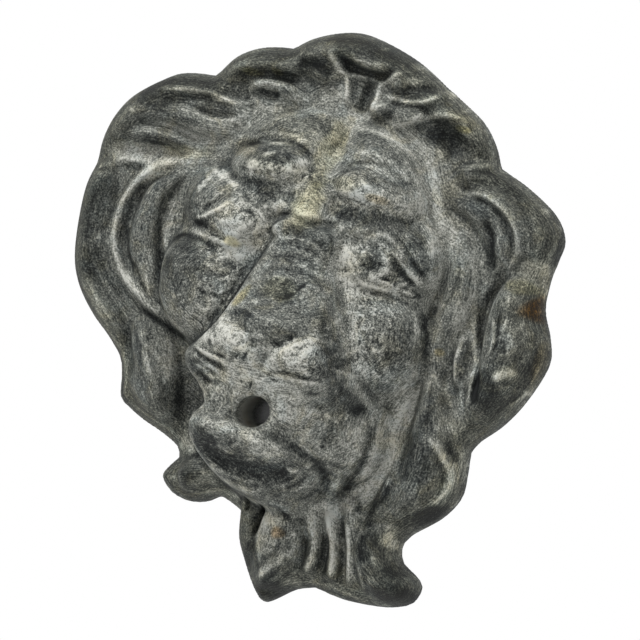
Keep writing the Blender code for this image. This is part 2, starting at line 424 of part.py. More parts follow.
def cut_mane(sheet):
    """Sharp edges and hollows between the locks."""
    # the tuft over the forehead
    ridge(sheet, [(-6.8, 45.2), (-4.4, 43.9), (-1, 43.2), (2.6, 43.4), (5.0, 44.8)], 0.9, -2.4)
    ridge(sheet, [(-7.5, 45.2), (-5, 42.6), (-3.6, 41.2), (-3, 39), (-2.4, 36.0)], 0.7, 1.2)
    ridge(sheet, [(-4, 42.1), (0, 42.3), (2.8, 42)], 0.5, 0.8)
    ridge(sheet, [(6.2, 45.2), (4.4, 43.4), (2.6, 42.0), (2.4, 40.0), (1.9, 36.0)], 0.7, 1.1)
    ridge(sheet, [(2.6, 40.8), (5, 40.1), (8, 40.1), (10.8, 40.6), (12.6, 42), (14.8, 44.8)], 0.7, 1.2)
    ridge(sheet, [(4, 34.6), (9, 36.6), (13, 38.9), (16.4, 39.9), (20.4, 39.6), (22, 38.4)], 0.9, 1.4)
    ridge(sheet, [(-0.2, 42.1), (0.2, 39), (0.1, 35.4)], 1.0, -2.0)
    ridge(sheet, [(5.4, 41.4), (8.4, 42.4), (11.4, 43.4), (13, 44.2)], 0.8, -1.2)
    ridge(sheet, [(-13, 40.8), (-9, 41.8), (-5.6, 40.4)], 1.2, -1.4)
    dent(sheet, 16.4, 36.6, 4.8, 1.9, 2.4, turn=-16)
    ridge(sheet, [(-23.6, 35.6), (-21.5, 37.2), (-17, 38.7), (-11, 38.7)], 0.9, -1.6)
    # left lobes
    ridge(sheet, [(-35, 30.7), (-31, 31.8), (-27, 32.4), (-23.5, 32), (-20, 32.3), (-17, 33.6)], 0.6, 1.0)
    ridge(sheet, [(-32.5, 30.0), (-27, 30.9), (-21, 30.4)], 0.9, -1.0)
    ridge(sheet, [(-33, 29), (-28, 28.3), (-24, 28.1), (-21, 28.8), (-18, 30)], 0.8, 0.9)
    ridge(sheet, [(-20.5, 35.4), (-17, 36.9), (-14, 37.1), (-11, 36)], 0.5, 0.8)
    ridge(sheet, [(-18.4, 35.0), (-14.2, 35.0)], 0.9, -1.0)
    ridge(sheet, [(-39, 24.2), (-33, 25.0), (-27, 24.4), (-23, 24.8)], 1.0, -1.2)
    ridge(sheet, [(-42.6, 18.4), (-38, 19.8), (-31, 20.8), (-26, 21.4)], 1.3, -1.4)
    ridge(sheet, [(-43, 14.8), (-41, 15.8), (-37.5, 17.6), (-33.5, 17.0)], 0.7, 1.0)
    # the long edge beside the side roll, the scoop inside it and the leaf lock's sharp edge
    ridge(sheet, [(-25, 21), (-30, 19), (-33.4, 16.2), (-35.6, 12.6), (-36.3, 8), (-36, 3), (-34.4, 0),
                  (-32, -3), (-28, -5.6), (-22, -8.2), (-18.5, -10)], 1.0, 1.8)
    ridge(sheet, [(-31.5, 16.4), (-33.6, 13), (-34.4, 8.4), (-34.2, 3.6), (-32.6, 0.2), (-29.6, -3)], 1.1,
          -1.8)
    ridge(sheet, [(-27.6, 17), (-28.8, 12), (-28.4, 6), (-27, 2), (-25, -3.4)], 0.7, -2.0)
    ridge(sheet, [(-40, 0), (-38, -3.4), (-34.4, -6.6), (-31, -9.4), (-28.8, -12.4), (-26.8, -16.4),
                  (-25, -21)], 1.0, -1.8)
    ridge(sheet, [(-26.6, -8.6), (-24, -14), (-21.4, -19.5), (-19, -23)], 0.8, 1.0)
    dent(sheet, -15.2, -20, 3.0, 4.6, 2.6, turn=12)
    # the right curl and the slender leaves
    ridge(sheet, [(20.5, 26.6), (23.5, 27.8), (27, 27.6), (30.8, 25.6), (33.4, 22.2), (33.8, 19),
                  (32, 16)], 0.7, 1.4)
    ridge(sheet, [(20.4, 29.0), (25, 30.0), (29.4, 29.4), (33.4, 26.6), (35.6, 22.6), (35.8, 18.6)], 1.0,
          -1.5)
    ridge(sheet, [(26, 23.8), (28.6, 21.8), (29.9, 18), (30, 14.6)], 0.9, -1.2)
    ridge(sheet, [(20.2, 30.8), (23.2, 32.6), (27.8, 33.2)], 0.7, 0.8)
    ridge(sheet, [(34.4, 16.8), (31.9, 14), (31.0, 9), (31.2, 4), (32.2, -0.4), (33.6, -4.4), (34, -8)],
          0.8, -2.4)
    ridge(sheet, [(28, 4.5), (28.5, -1), (29.5, -5.6)], 0.5, 0.8)
    ridge(sheet, [(29.8, 7.5), (30.6, 3.6), (32.0, -0.8), (32.3, -4), (32.8, -9.6)], 0.5, 0.9)
    ridge(sheet, [(27.2, -13.4), (30, -16.6), (32.6, -19.6), (33, -22.2), (31.4, -25), (28.2, -27.4)],
          0.8, 1.3)
    ridge(sheet, [(28, -8), (31, -12.6), (34, -17.2)], 0.7, 0.8)
    ridge(sheet, [(22.6, -3), (23.4, -9), (22.4, -15), (21.6, -20), (20.4, -26), (19.4, -31)], 1.1, -1.2)
    ridge(sheet, [(22.4, 8), (21.8, 4), (22.8, 0)], 0.6, -1.0)
    # the flutes of the beard, and the slot beside its strap
    ridge(sheet, [(9.8, -39.4), (7.2, -42.6), (5.2, -46)], 0.8, 1.4)
    ridge(sheet, [(9.6, -32.0), (12.4, -36), (13.3, -39.8), (12.4, -44)], 0.7, 1.2)
    ridge(sheet, [(11.0, -36.4), (11.4, -40), (10.4, -43.4)], 0.8, -1.4)
    ridge(sheet, [(12.8, -30.4), (15.6, -35.4), (17, -40), (17.2, -44)], 0.7, 1.2)
    ridge(sheet, [(14, -34.8), (15.3, -38.6), (15.2, -43)], 0.8, -1.5)
    ridge(sheet, [(16.4, -31), (19.2, -37), (20.2, -42), (20.4, -44.4)], 0.6, 1.1)
    ridge(sheet, [(17, -36), (18.6, -40), (18.8, -43.6)], 0.8, -1.4)
    ridge(sheet, [(20.4, -36), (22.8, -40.6), (23.6, -44.4)], 0.6, 1.0)
    ridge(sheet, [(22, -30.4), (24.8, -34.4), (27.6, -37), (30.4, -38.6)], 0.7, 0.9)
    ridge(sheet, [(2.7, -33), (2.3, -36), (1.8, -39.4)], 0.4, -3.0)
    ridge(sheet, [(-0.8, -32.8), (-0.7, -35.8)], 0.5, -1.6)


def carve(pitch):
    """The whole front of the mask as a height sheet."""
    sheet = Sheet(pitch)
    sheet.edge = inside_distance(sheet.X, sheet.Z, outline())
    carve_ground(sheet)
    carve_crown(sheet)
    carve_left_mane(sheet)
    carve_right_mane(sheet)
    carve_beard(sheet)
    sheet.height += 1.2 * sheet.relief * np.sqrt(np.clip(sheet.edge / 4, 0, 1))
    carve_head(sheet)
    carve_muzzle(sheet)
    sheet.height = np.where(sheet.edge > 1.5, soften(sheet.height, 0.35 / pitch), sheet.height)
    cut_face(sheet)
    cut_mane(sheet)
    return sheet


def hollow_height(sheet, part):
    """How far the hollow reaches forward: the carved front less the wall, measured square to it."""
    wall = WALL / part
    cells = int(wall / sheet.pitch) + 1
    wide = np.pad(sheet.height, cells, mode="edge")
    rows, columns = sheet.height.shape
    inner = np.full(sheet.height.shape, 1e9)
    for down in range(-cells, cells + 1):
        for across in range(-cells, cells + 1):
            reach = wall ** 2 - (down ** 2 + across ** 2) * sheet.pitch ** 2
            if reach >= 0:
                shifted = wide[cells + down:cells + down + rows, cells + across:cells + across + columns]
                inner = np.minimum(inner, shifted - math.sqrt(reach))
    inner = np.minimum(inner, soften(inner, 1.4 / sheet.pitch))
    crown = HOLLOW_DEPTH / part - 0.002 * (sheet.X ** 2 + sheet.Z ** 2)
    inner = soft_min(inner, crown, 0.4)
    return soft_min(inner, (sheet.edge - RIM / part) * 5, 0.2)


def new_collection(name):
    collection = bpy.data.collections.new(name)
    bpy.context.scene.collection.children.link(collection)
    return collection


def adopt(collection, name):
    """Names the object just added and moves it to the collection."""
    piece = bpy.context.object
    piece.name = name
    piece.data.name = name
    for holder in list(piece.users_collection):
        holder.objects.unlink(piece)
    collection.objects.link(piece)
    return piece


def block(collection, name, sheet, height, top, back, faces):
    """A closed block with its front face at the given heights, thinned to about so many faces.

    Its mesh is in hundredths of the height, like the carving, and its scale brings it to metres.
    The plain outer parts are slightly bowed, so that thinning out treats every edge the same way.
    """
    rows, columns = height.shape
    bpy.ops.mesh.primitive_grid_add(x_subdivisions=columns - 1, y_subdivisions=rows - 1, size=1)
    piece = adopt(collection, name)
    flat = np.empty(3 * len(piece.data.vertices))
    piece.data.vertices.foreach_get("co", flat)
    flat = flat.reshape(-1, 3)
    column = np.rint((flat[:, 0] + 0.5) * (columns - 1)).astype(int)
    row = np.rint((flat[:, 1] + 0.5) * (rows - 1)).astype(int)
    x, z = sheet.xs[column], sheet.zs[row]
    bow = BOW * np.clip(-sheet.edge[row, column], 0, None)
    place = np.column_stack([x * (1 + bow), 40 * bow ** 2 - height[row, column], z * (1 + bow) - top])
    piece.data.vertices.foreach_set("co", place.ravel())
    mesh = bmesh.new()
    mesh.from_mesh(piece.data)
    border = [edge for edge in mesh.edges if edge.is_boundary]
    skirt = bmesh.ops.extrude_edge_only(mesh, edges=border)["geom"]
    for vertex in skirt:
        if isinstance(vertex, bmesh.types.BMVert):
            vertex.co.y = back + BOW * (vertex.co.x ** 2 + vertex.co.z ** 2)
    bmesh.ops.holes_fill(mesh, edges=[edge for edge in mesh.edges if edge.is_boundary], sides=0)
    bmesh.ops.triangulate(mesh, faces=mesh.faces[:])
    bmesh.ops.recalc_face_normals(mesh, faces=mesh.faces[:])
    count = len(mesh.faces)
    mesh.to_mesh(piece.data)
    mesh.free()
    thin = piece.modifiers.new("Thin out", "DECIMATE")
    thin.ratio = faces / count
    return piece


def combine(piece, other, operation):
    """Takes the other solid out of the piece, or joins it on."""
    boolean = piece.modifiers.new(other.name, "BOOLEAN")
    boolean.operation = operation
    boolean.solver = "EXACT"
    boolean.object = other
    other.hide_render = True
    other.display_type = "WIRE"


def wall_cutter(cutters):
    """Everything behind the back plane, where the wall is."""
    size = 2 * HEIGHT
    bpy.ops.mesh.primitive_cube_add(size=size, location=(0, size / 2, -HEIGHT / 2))
    return adopt(cutters, "wall_cutter")


def oval_bar(cutters, name, width, height, front, back, centre):
    """An oval bar square to the wall, turned like the hole, between two distances from the wall."""
    bpy.ops.mesh.primitive_cylinder_add(vertices=HOLE_SIDES, radius=0.5, depth=front - back)
    bar = adopt(cutters, name)
    bar.scale = (width, height, 1)
    bar.rotation_euler = (math.radians(90), math.radians(-HOLE_TURN), 0)
    bar.location = (centre[0], -(front + back) / 2, centre[1])
    return bar


def lead_material():
    """Old lead, dull and dark grey."""
    material = bpy.data.materials.new("old_lead")
    material.use_nodes = True
    shader = material.node_tree.nodes["Principled BSDF"]
    shader.inputs["Base Color"].default_value = LEAD_COLOUR
    shader.inputs["Roughness"].default_value = LEAD_ROUGHNESS
    shader.inputs["Metallic"].default_value = LEAD_METALLIC
    return material


def make_mask():
    """The casting: the carved block cut flat behind, hollowed, and pierced through the mouth."""
    for leftover in list(bpy.data.objects):
        bpy.data.objects.remove(leftover)
    casting = new_collection("lion_fountain_spout")
    cutters = new_collection("cutters")

    loop = outline()
    part = HEIGHT / (loop[:, 1].max() - loop[:, 1].min())
    # the origin is halfway across the flat rim, straight above the middle of the face
    middle = loop[np.abs(loop[:, 0]) < 1.5]
    top = middle[:, 1].max() - RIM / part / 2

    front = carve(FRONT_PITCH)
    mask = block(casting, "lion_mask", front, front.height, top, BACK, FRONT_FACES)
    inside = carve(HOLLOW_PITCH)
    depth = np.maximum(hollow_height(inside, part), -2)
    hollow = block(cutters, "hollow_cutter", inside, depth, top, 2 * BACK, HOLLOW_FACES)
    for carved in (mask, hollow):
        carved.scale = (part, part, part)

    centre = (SPOUT_HOLE[0] * part, (SPOUT_HOLE[1] - top) * part)
    sleeve = oval_bar(cutters, "water_sleeve", HOLE_WIDTH + 2 * WALL, HOLE_HEIGHT + 2 * WALL,
                      HOLLOW_DEPTH + WALL, SLEEVE_END, centre)
    hole = oval_bar(cutters, "hole_cutter", HOLE_WIDTH, HOLE_HEIGHT, HEIGHT, -HEIGHT, centre)

    combine(mask, wall_cutter(cutters), "DIFFERENCE")
    combine(mask, hollow, "DIFFERENCE")
    combine(mask, sleeve, "UNION")
    combine(mask, hole, "DIFFERENCE")
    mask.data.materials.append(lead_material())
    mask.data.shade_smooth()


make_mask()
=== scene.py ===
"""The finished looks of a lead lion's mask made as a fountain spout.

The carving is made as a fine sheet of heights, roughened and marked as old lead is, then
closed into one hollow-backed casting that takes the place of the plain solid. The camera
looks from a little to the right, rolled so that the mask leans as it does in the photograph.
"""

import math

import bmesh
import bpy
import mathutils
import numpy as np
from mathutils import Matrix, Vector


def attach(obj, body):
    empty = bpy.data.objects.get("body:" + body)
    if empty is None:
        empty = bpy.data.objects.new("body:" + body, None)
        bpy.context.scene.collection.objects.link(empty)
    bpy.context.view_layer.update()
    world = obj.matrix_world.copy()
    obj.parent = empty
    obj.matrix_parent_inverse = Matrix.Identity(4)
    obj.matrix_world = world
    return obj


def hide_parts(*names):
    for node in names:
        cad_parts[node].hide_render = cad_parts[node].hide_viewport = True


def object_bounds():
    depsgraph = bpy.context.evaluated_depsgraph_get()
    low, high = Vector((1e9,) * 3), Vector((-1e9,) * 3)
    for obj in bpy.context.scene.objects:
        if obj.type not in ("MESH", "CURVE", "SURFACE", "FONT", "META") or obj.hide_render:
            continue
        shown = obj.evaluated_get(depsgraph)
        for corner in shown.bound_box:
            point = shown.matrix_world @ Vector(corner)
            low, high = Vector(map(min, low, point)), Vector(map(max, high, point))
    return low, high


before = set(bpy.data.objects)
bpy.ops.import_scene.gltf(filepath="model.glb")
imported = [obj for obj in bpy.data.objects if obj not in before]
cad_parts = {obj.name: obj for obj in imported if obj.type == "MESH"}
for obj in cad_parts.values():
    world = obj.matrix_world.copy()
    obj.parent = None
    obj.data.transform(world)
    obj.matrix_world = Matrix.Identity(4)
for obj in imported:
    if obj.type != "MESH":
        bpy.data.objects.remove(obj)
CAD_LOW, CAD_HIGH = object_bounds()

# Sizes that the solid was made with, in metres and degrees
HEIGHT = 0.300
WALL = 0.0055
RIM = 0.009
HOLLOW_DEPTH = 0.054
HOLE_WIDTH = 0.0185
HOLE_HEIGHT = 0.0165
HOLE_TURN = 35.0
SLEEVE_END = 0.0025

# Pitch of the finished surface and of the hollow behind it, in hundredths of the height
FRONT_PITCH = 0.3
HOLLOW_PITCH = 0.7
HOLE_SIDES = 64
# How far behind the wall's plane the blocks are carried before they are cut off there
BACK = 6.0
# Heights above the wall at which the hole's own wall has a ring of points to carry its tone
HOLE_RINGS = (30, 27, 24, 21, 18, 15)
# A point so far under the carved front still belongs to it
SKIN = 0.7

# The photograph's view: degrees right of the front, above it, and of roll; lens in millimetres
VIEW_RIGHT, VIEW_UP, VIEW_ROLL = 13.0, 2.0, 15.5
LENS, SENSOR = 400.0, 36.0
IMAGE_SIZE = 640
PIXELS_PER_PART = 5.75
MIDDLE_PIXEL = (314.0, 314.5)

# The studio: the floor, and the lamp's place, what it looks at, its width and its power
FLOOR_LEVEL, FLOOR_SIZE = -0.9, 8
LAMP_PLACE, LAMP_TARGET = (-0.7, -1.1, 1.5), (0, -0.03, -0.14)
LAMP_SIZE, LAMP_POWER = 1.0, 42.0

# The lead's colours from its darkest to its palest, and the tints that lie over them
LEAD_COLOURS = [(0.0, (0.012, 0.013, 0.013)), (0.22, (0.033, 0.036, 0.034)), (0.45, (0.083, 0.087, 0.079)),
                (0.7, (0.20, 0.205, 0.181)), (1.0, (0.45, 0.45, 0.41))]
COOL_TINT, WARM_TINT = (0.90, 0.99, 1.07), (1.08, 1.0, 0.82)
YELLOW_TINT, RUST_TINT = (1.08, 1.0, 0.66), (1.0, 0.55, 0.22)
# Steps of the surface's noises in a metre, and how far the combed lines wander
STEPS_IN_METRE, WANDER = 333.0, 6.0

# How much of the carving's own tone is kept, and the limits of the tone that is laid over it
CARVED_TONE = 0.45
DARKEST, PALE_START, PALE_RANGE = -2, 0.8, 2
HOLLOW_TONE = -0.3
# A chiselled line's rise and tone for each step of its paleness, and its least half width
LINE_RISE, LINE_TONE, LINE_WIDTH = 0.28, 1.1, 0.22
SCRATCH_RISE = 0.12
# How wide the dark rim is, and its tone and yellow
RIM_MARK, RIM_TONE, RIM_YELLOW = 5, -0.5, 0.35
# How wide the surroundings are that the surface is measured against
WIDE, NARROW, FINE = 4.2, 1.6, 0.6
# The waves of the rough skin: how high, how large, and the seed of each
SLOW_WAVES = ((0.20, 6.3, 21), (0.10, 3.1, 22))
FINE_WAVES = ((0.03, 1.5, 23), (0.03, 0.8, 24))

# The carving is given in hundredths of the height: x to the right, z up, and how far it stands out.
# Limits of its sheet, the rounding of its edge and of the head, and the place of the hole
LEFT, RIGHT, BOTTOM, TOP = -49, 47, -54, 53
EDGE_ROUND, EDGE_HEIGHT = 6.0, 7.0
HEAD_BASE, HEAD_RISE, HEAD_ROUND = 8.6, 6.0, 9.0
SPOUT_HOLE = (0.7, -17.8)

# Broad patches of the old surface, some of them painted shade and painted light: place, half sizes, how
# pale (dark below 0), and turn in degrees if any
PATCHES = [
    # forehead, brows and temples
    (-9, 31.2, 5.5, 2.2, -0.2, 18), (7, 31.4, 6.5, 2.2, -0.2, -8), (8, 28.8, 5, 1.4, 0.15, -15),
    (-10, 25.2, 5.2, 2, -1, 12), (-1.4, 22.6, 1.4, 2, -0.5), (7, 25.4, 6, 1.3, -0.5, -4),
    (-6, 22.6, 2.4, 2.8, 0.6), (-12.4, 21.8, 3, 1.5, 0.1), (5, 21.6, 4.6, 1.5, 1.1),
    (13.6, 21.6, 3.4, 1.4, 0.9), (-2, 16.2, 5, 0.9, 0.2), (4.2, 15.8, 1.4, 1.2, 0.7),
    (-7.4, 16, 1.6, 1.2, 0.6), (-8.4, 20.4, 2.2, 1.3, 0.8), (-12.4, 21.6, 2.6, 1.2, 0.7),
    (-8.4, 24.8, 1.8, 1.6, -0.9), (-14.2, 23.6, 1.4, 1, -0.4), (-0.6, 26.2, 1.5, 3, 0.9),
    (-1, 31.6, 1.3, 2.6, 0.6), (11.2, 29.4, 2.4, 1.6, -0.5, -40), (-4.7, 22.6, 1.1, 2.4, 0.6),
    (-9.6, 13.4, 1.5, 3, 0.7), (-2, 15.4, 2.6, 0.8, 0.5), (0.8, 19.2, 1.2, 1.5, 0.7),
    (8.8, 27.6, 5, 1.3, 0.5, -5), (-9.2, 28.6, 4, 1.2, 0.4, 8), (-19.4, 20.6, 1.6, 1.3, -0.6),
    (6, 13.4, 1.5, 3.4, 0.9), (-2, 18, 3.4, 4.2, 0.6), (-7, 16.8, 1.8, 1.6, 0.6), (1.8, 18, 1.4, 3, 0.6),
    (-21.6, 13.6, 2.4, 4.4, -0.5, -10), (18.8, 15.2, 3, 4.2, -0.7, 12), (17.6, 18.8, 2.2, 3.2, -0.7),
    # eyes
    (-12.2, 9.8, 4.4, 4.6, 0.85, 30), (-14.4, 15.8, 3.4, 2.4, 0.35, 10), (-9.2, 13.6, 1.6, 3.4, 0.4),
    (-19.4, 10.2, 2.6, 1.2, -0.3, -10), (-11.8, 9.4, 2.6, 1.8, 0.8), (8, 11, 2.4, 5.4, 0.6, -6),
    (11.2, 12.2, 1.8, 1.7, -1), (13, 7.6, 7, 1.7, 0.9, 3), (5.8, 10, 1.3, 3.4, 1),
    (9.4, 17.6, 3, 1, -0.4, 6), (-12.8, 7.5, 3.6, 2.2, 1.6, 20), (10, 7.6, 3.6, 1.4, 0.5),
    (9.6, 6.6, 3, 2.4, 0.45),
    # cheeks
    (-20.4, 2.4, 4, 5, -0.7, -10), (-22, 6.4, 3.2, 1.8, -0.6), (-20, -2.6, 4, 2.2, -0.3),
    (-16.4, -6.4, 2.6, 2.4, 0.5), (20.4, 0, 3.4, 6, -0.5, -8), (12.4, 2, 3, 3.5, 0.2, 25),
    (17, 0, 5, 5, -0.25), (18, -7, 3, 2, -0.4),
    # nose and pads
    (-0.5, 7, 5, 6.5, -0.5), (1.5, -0.4, 8, 3, -0.45), (0, 13.8, 5, 1.6, -0.6),
    (-5.2, 14.6, 1.7, 1.1, -0.6, 30), (2.4, 15, 2, 0.9, -0.5), (5.2, 5.8, 1.8, 2.8, -0.6, 20),
    (-4.6, -2.6, 3.4, 1.4, -0.5, -10), (3.4, -2.7, 3, 1.4, -0.3, 16), (-6.2, -5.8, 4.8, 3.2, 0.65, -10),
    (6.4, -5.6, 3.4, 3, 0.6, 12), (10.8, -6.4, 2.2, 3.2, -0.9, 20), (13, -8.8, 2.8, 1.3, -0.3, -35),
    # the second and third patches here are painted shade at the left edge of the left pad
    (9.6, -6.4, 1.2, 1.4, -0.3), (-9.2, -5.2, 1.2, 2, -0.9), (-13.2, -8.9, 1.3, 1.9, -0.9, -20),
    # the first patch here is painted light at the foot of the nose's right flank, which lies in shade
    (9.9, 1.2, 1.2, 2.6, 0.8, 25), (0.4, -8.4, 3.2, 2.6, 1.2), (6.4, -11, 3.2, 1.1, 0.6),
    (-7, -9.8, 3.8, 1, 0.5), (-12.6, -10.8, 2.2, 2.6, -0.6), (-3, -11.4, 3, 1.6, 0.5),
    # round the mouth, the lips, chin and jowl
    # the third patch here is painted light on the lip at the left of the hole
    (-8.6, -12, 4.6, 2.6, 0.2, -10), (-2, -14, 5.4, 3, 0.55), (-1.6, -16.6, 2, 2.6, 0.9, 30),
    (6, -14.8, 4.6, 3.6, 0.75), (-1, -11.6, 5, 2, 0.5), (-6.6, -18, 2.6, 3, 0.6), (9, -17, 4, 3.6, 0.5),
    # the second patch here is painted shadow on the muzzle's right flank
    (-7.6, -23, 3, 1.4, -0.4), (14.6, -12.4, 2.4, 2, -0.5, -30), (-15, -12.6, 1.8, 3, -0.4),
    (16.8, -18.8, 2.4, 5.4, 0.75, 3), (12.4, -21.2, 3.8, 1.8, 0.8, -10), (14.8, -18.6, 2.6, 1.6, 0.4, 10),
    (-11.6, -22.4, 1.6, 2, -0.9), (0, -30.6, 6, 1.5, 0.1, -4),
    # crown
    (-9.4, 41.4, 4, 1.5, -0.4, 12), (8, 43.7, 2.4, 1, 0.3, 10), (12.8, 35.2, 2.6, 1.5, -0.8, -15),
    (19.8, 25, 1.4, 2.4, -0.5, -30), (-5.6, 38, 3.6, 1.6, 0.3, 30), (-1, 47, 8, 2, -0.7),
    (-17, 41.6, 4.4, 1.6, -0.4, 20), (20, 38, 3, 1.4, 0.5, -20), (4.2, 44.9, 1.6, 1, -0.5),
    (10.2, 42.6, 1.8, 1.1, -0.5, 30), (-9.6, 43, 1.6, 1, 0.4),
    # left mane
    (-40.4, 8, 2.8, 7, -0.5), (-37.6, 30, 5, 2.6, -0.5, -45), (-38.6, -2.6, 2.6, 4, -0.35, 25),
    (-26, 33.6, 6, 1.6, -0.4, 10), (-31.4, 8, 2.4, 8, -0.2, 4), (-24.6, 6, 1, 8, -0.4, 2),
    (-31, -13, 4, 4, -0.1, 30), (-21.6, -14.8, 3, 4, 0.6, 20), (-15, -19, 2, 4.6, -0.15, 12),
    (-10.6, -34.6, 5.4, 2.6, -0.35), (-12, -30.6, 3, 2.6, -0.7, 30), (-35.6, 30, 2.6, 5, -0.6, -45),
    (-26, -9.6, 2.4, 1.2, -0.3), (-30, 33.4, 6, 1.6, -0.25, 10), (-37, 18.8, 5, 2.4, 0.6, 8),
    (-33, 22, 5, 1, -0.3, 5), (-18, 28.6, 4.4, 2.2, -0.2, 40), (-28.4, 13.4, 0.9, 2.4, 0.6, 10),
    (-24.6, 0, 2, 4, -0.4),
    # right mane
    (24.4, 24.4, 3.6, 2.2, 0.1, -30), (36.4, 18.2, 2.6, 1.7, 0.5, 20), (41.2, 14.4, 1.4, 3, 0.6),
    (36.8, 4.2, 1.5, 1.3, -0.6), (40.6, 2.8, 1.2, 1.2, -0.5), (20, 31.4, 4, 2.2, -0.4, -40),
    (38.2, 17, 3.4, 3.4, 0.6), (40.2, 11.2, 2.6, 2, -0.7), (38.6, 6.6, 3, 3, 0.35), (36, 13, 3, 2.4, 0.2),
    (35.2, -4, 3.2, 4.4, -1), (27, -18, 2.6, 8, -0.25), (31, -26, 2.6, 3, -0.2), (8, -48, 4.4, 2.4, -1),
    (31, -11, 2, 3, 0.4), (32.6, -19, 2, 5, 0.35), (27.5, 6, 1.4, 4, 0.35), (27.8, 10, 1.1, 3.4, 0.8),
    (26.6, 16, 1.1, 2.6, 0.6, 20), (30, -5, 2, 2.6, -0.4), (29.6, -12.4, 1.7, 2.4, 0.5, 20),
    (31.6, -24, 1.7, 2.3, 0.4),
    # beard
    (14.2, -33.4, 3.2, 3.4, 0.6), (22.4, -35.4, 1.5, 3.6, -0.8), (27.6, -38.6, 2, 1.2, -0.4),
    (4.6, -38, 2.8, 4.2, 0.9), (29, -42.6, 5.4, 2, -1.1), (24.8, -31.8, 1.3, 1.2, 1),
    (25, -34, 1.2, 1.6, 1, 20), (13.2, -32.4, 2.6, 1.8, 1), (18.6, -38.6, 2.6, 4.6, 0.8, 15),
    (1.4, -43.6, 1.5, 4, -0.9, -15), (24.8, -18.8, 1.8, 4.8, -0.7), (28.4, -20.4, 1.8, 3, -0.2, 15),
    (30.4, -28, 3.6, 1.8, -0.9, 40), (6.6, -40.6, 1.4, 1.6, 0.5), (10.4, -40, 1, 3.2, 0.6),
    (14.8, -37, 1, 2.8, 0.5, 10), (17.6, -37.6, 0.9, 2.8, 0.4, 15), (9.8, -46, 1.6, 1.3, 0.6),
    (-9, -33.4, 3, 1.3, 0.4),
]
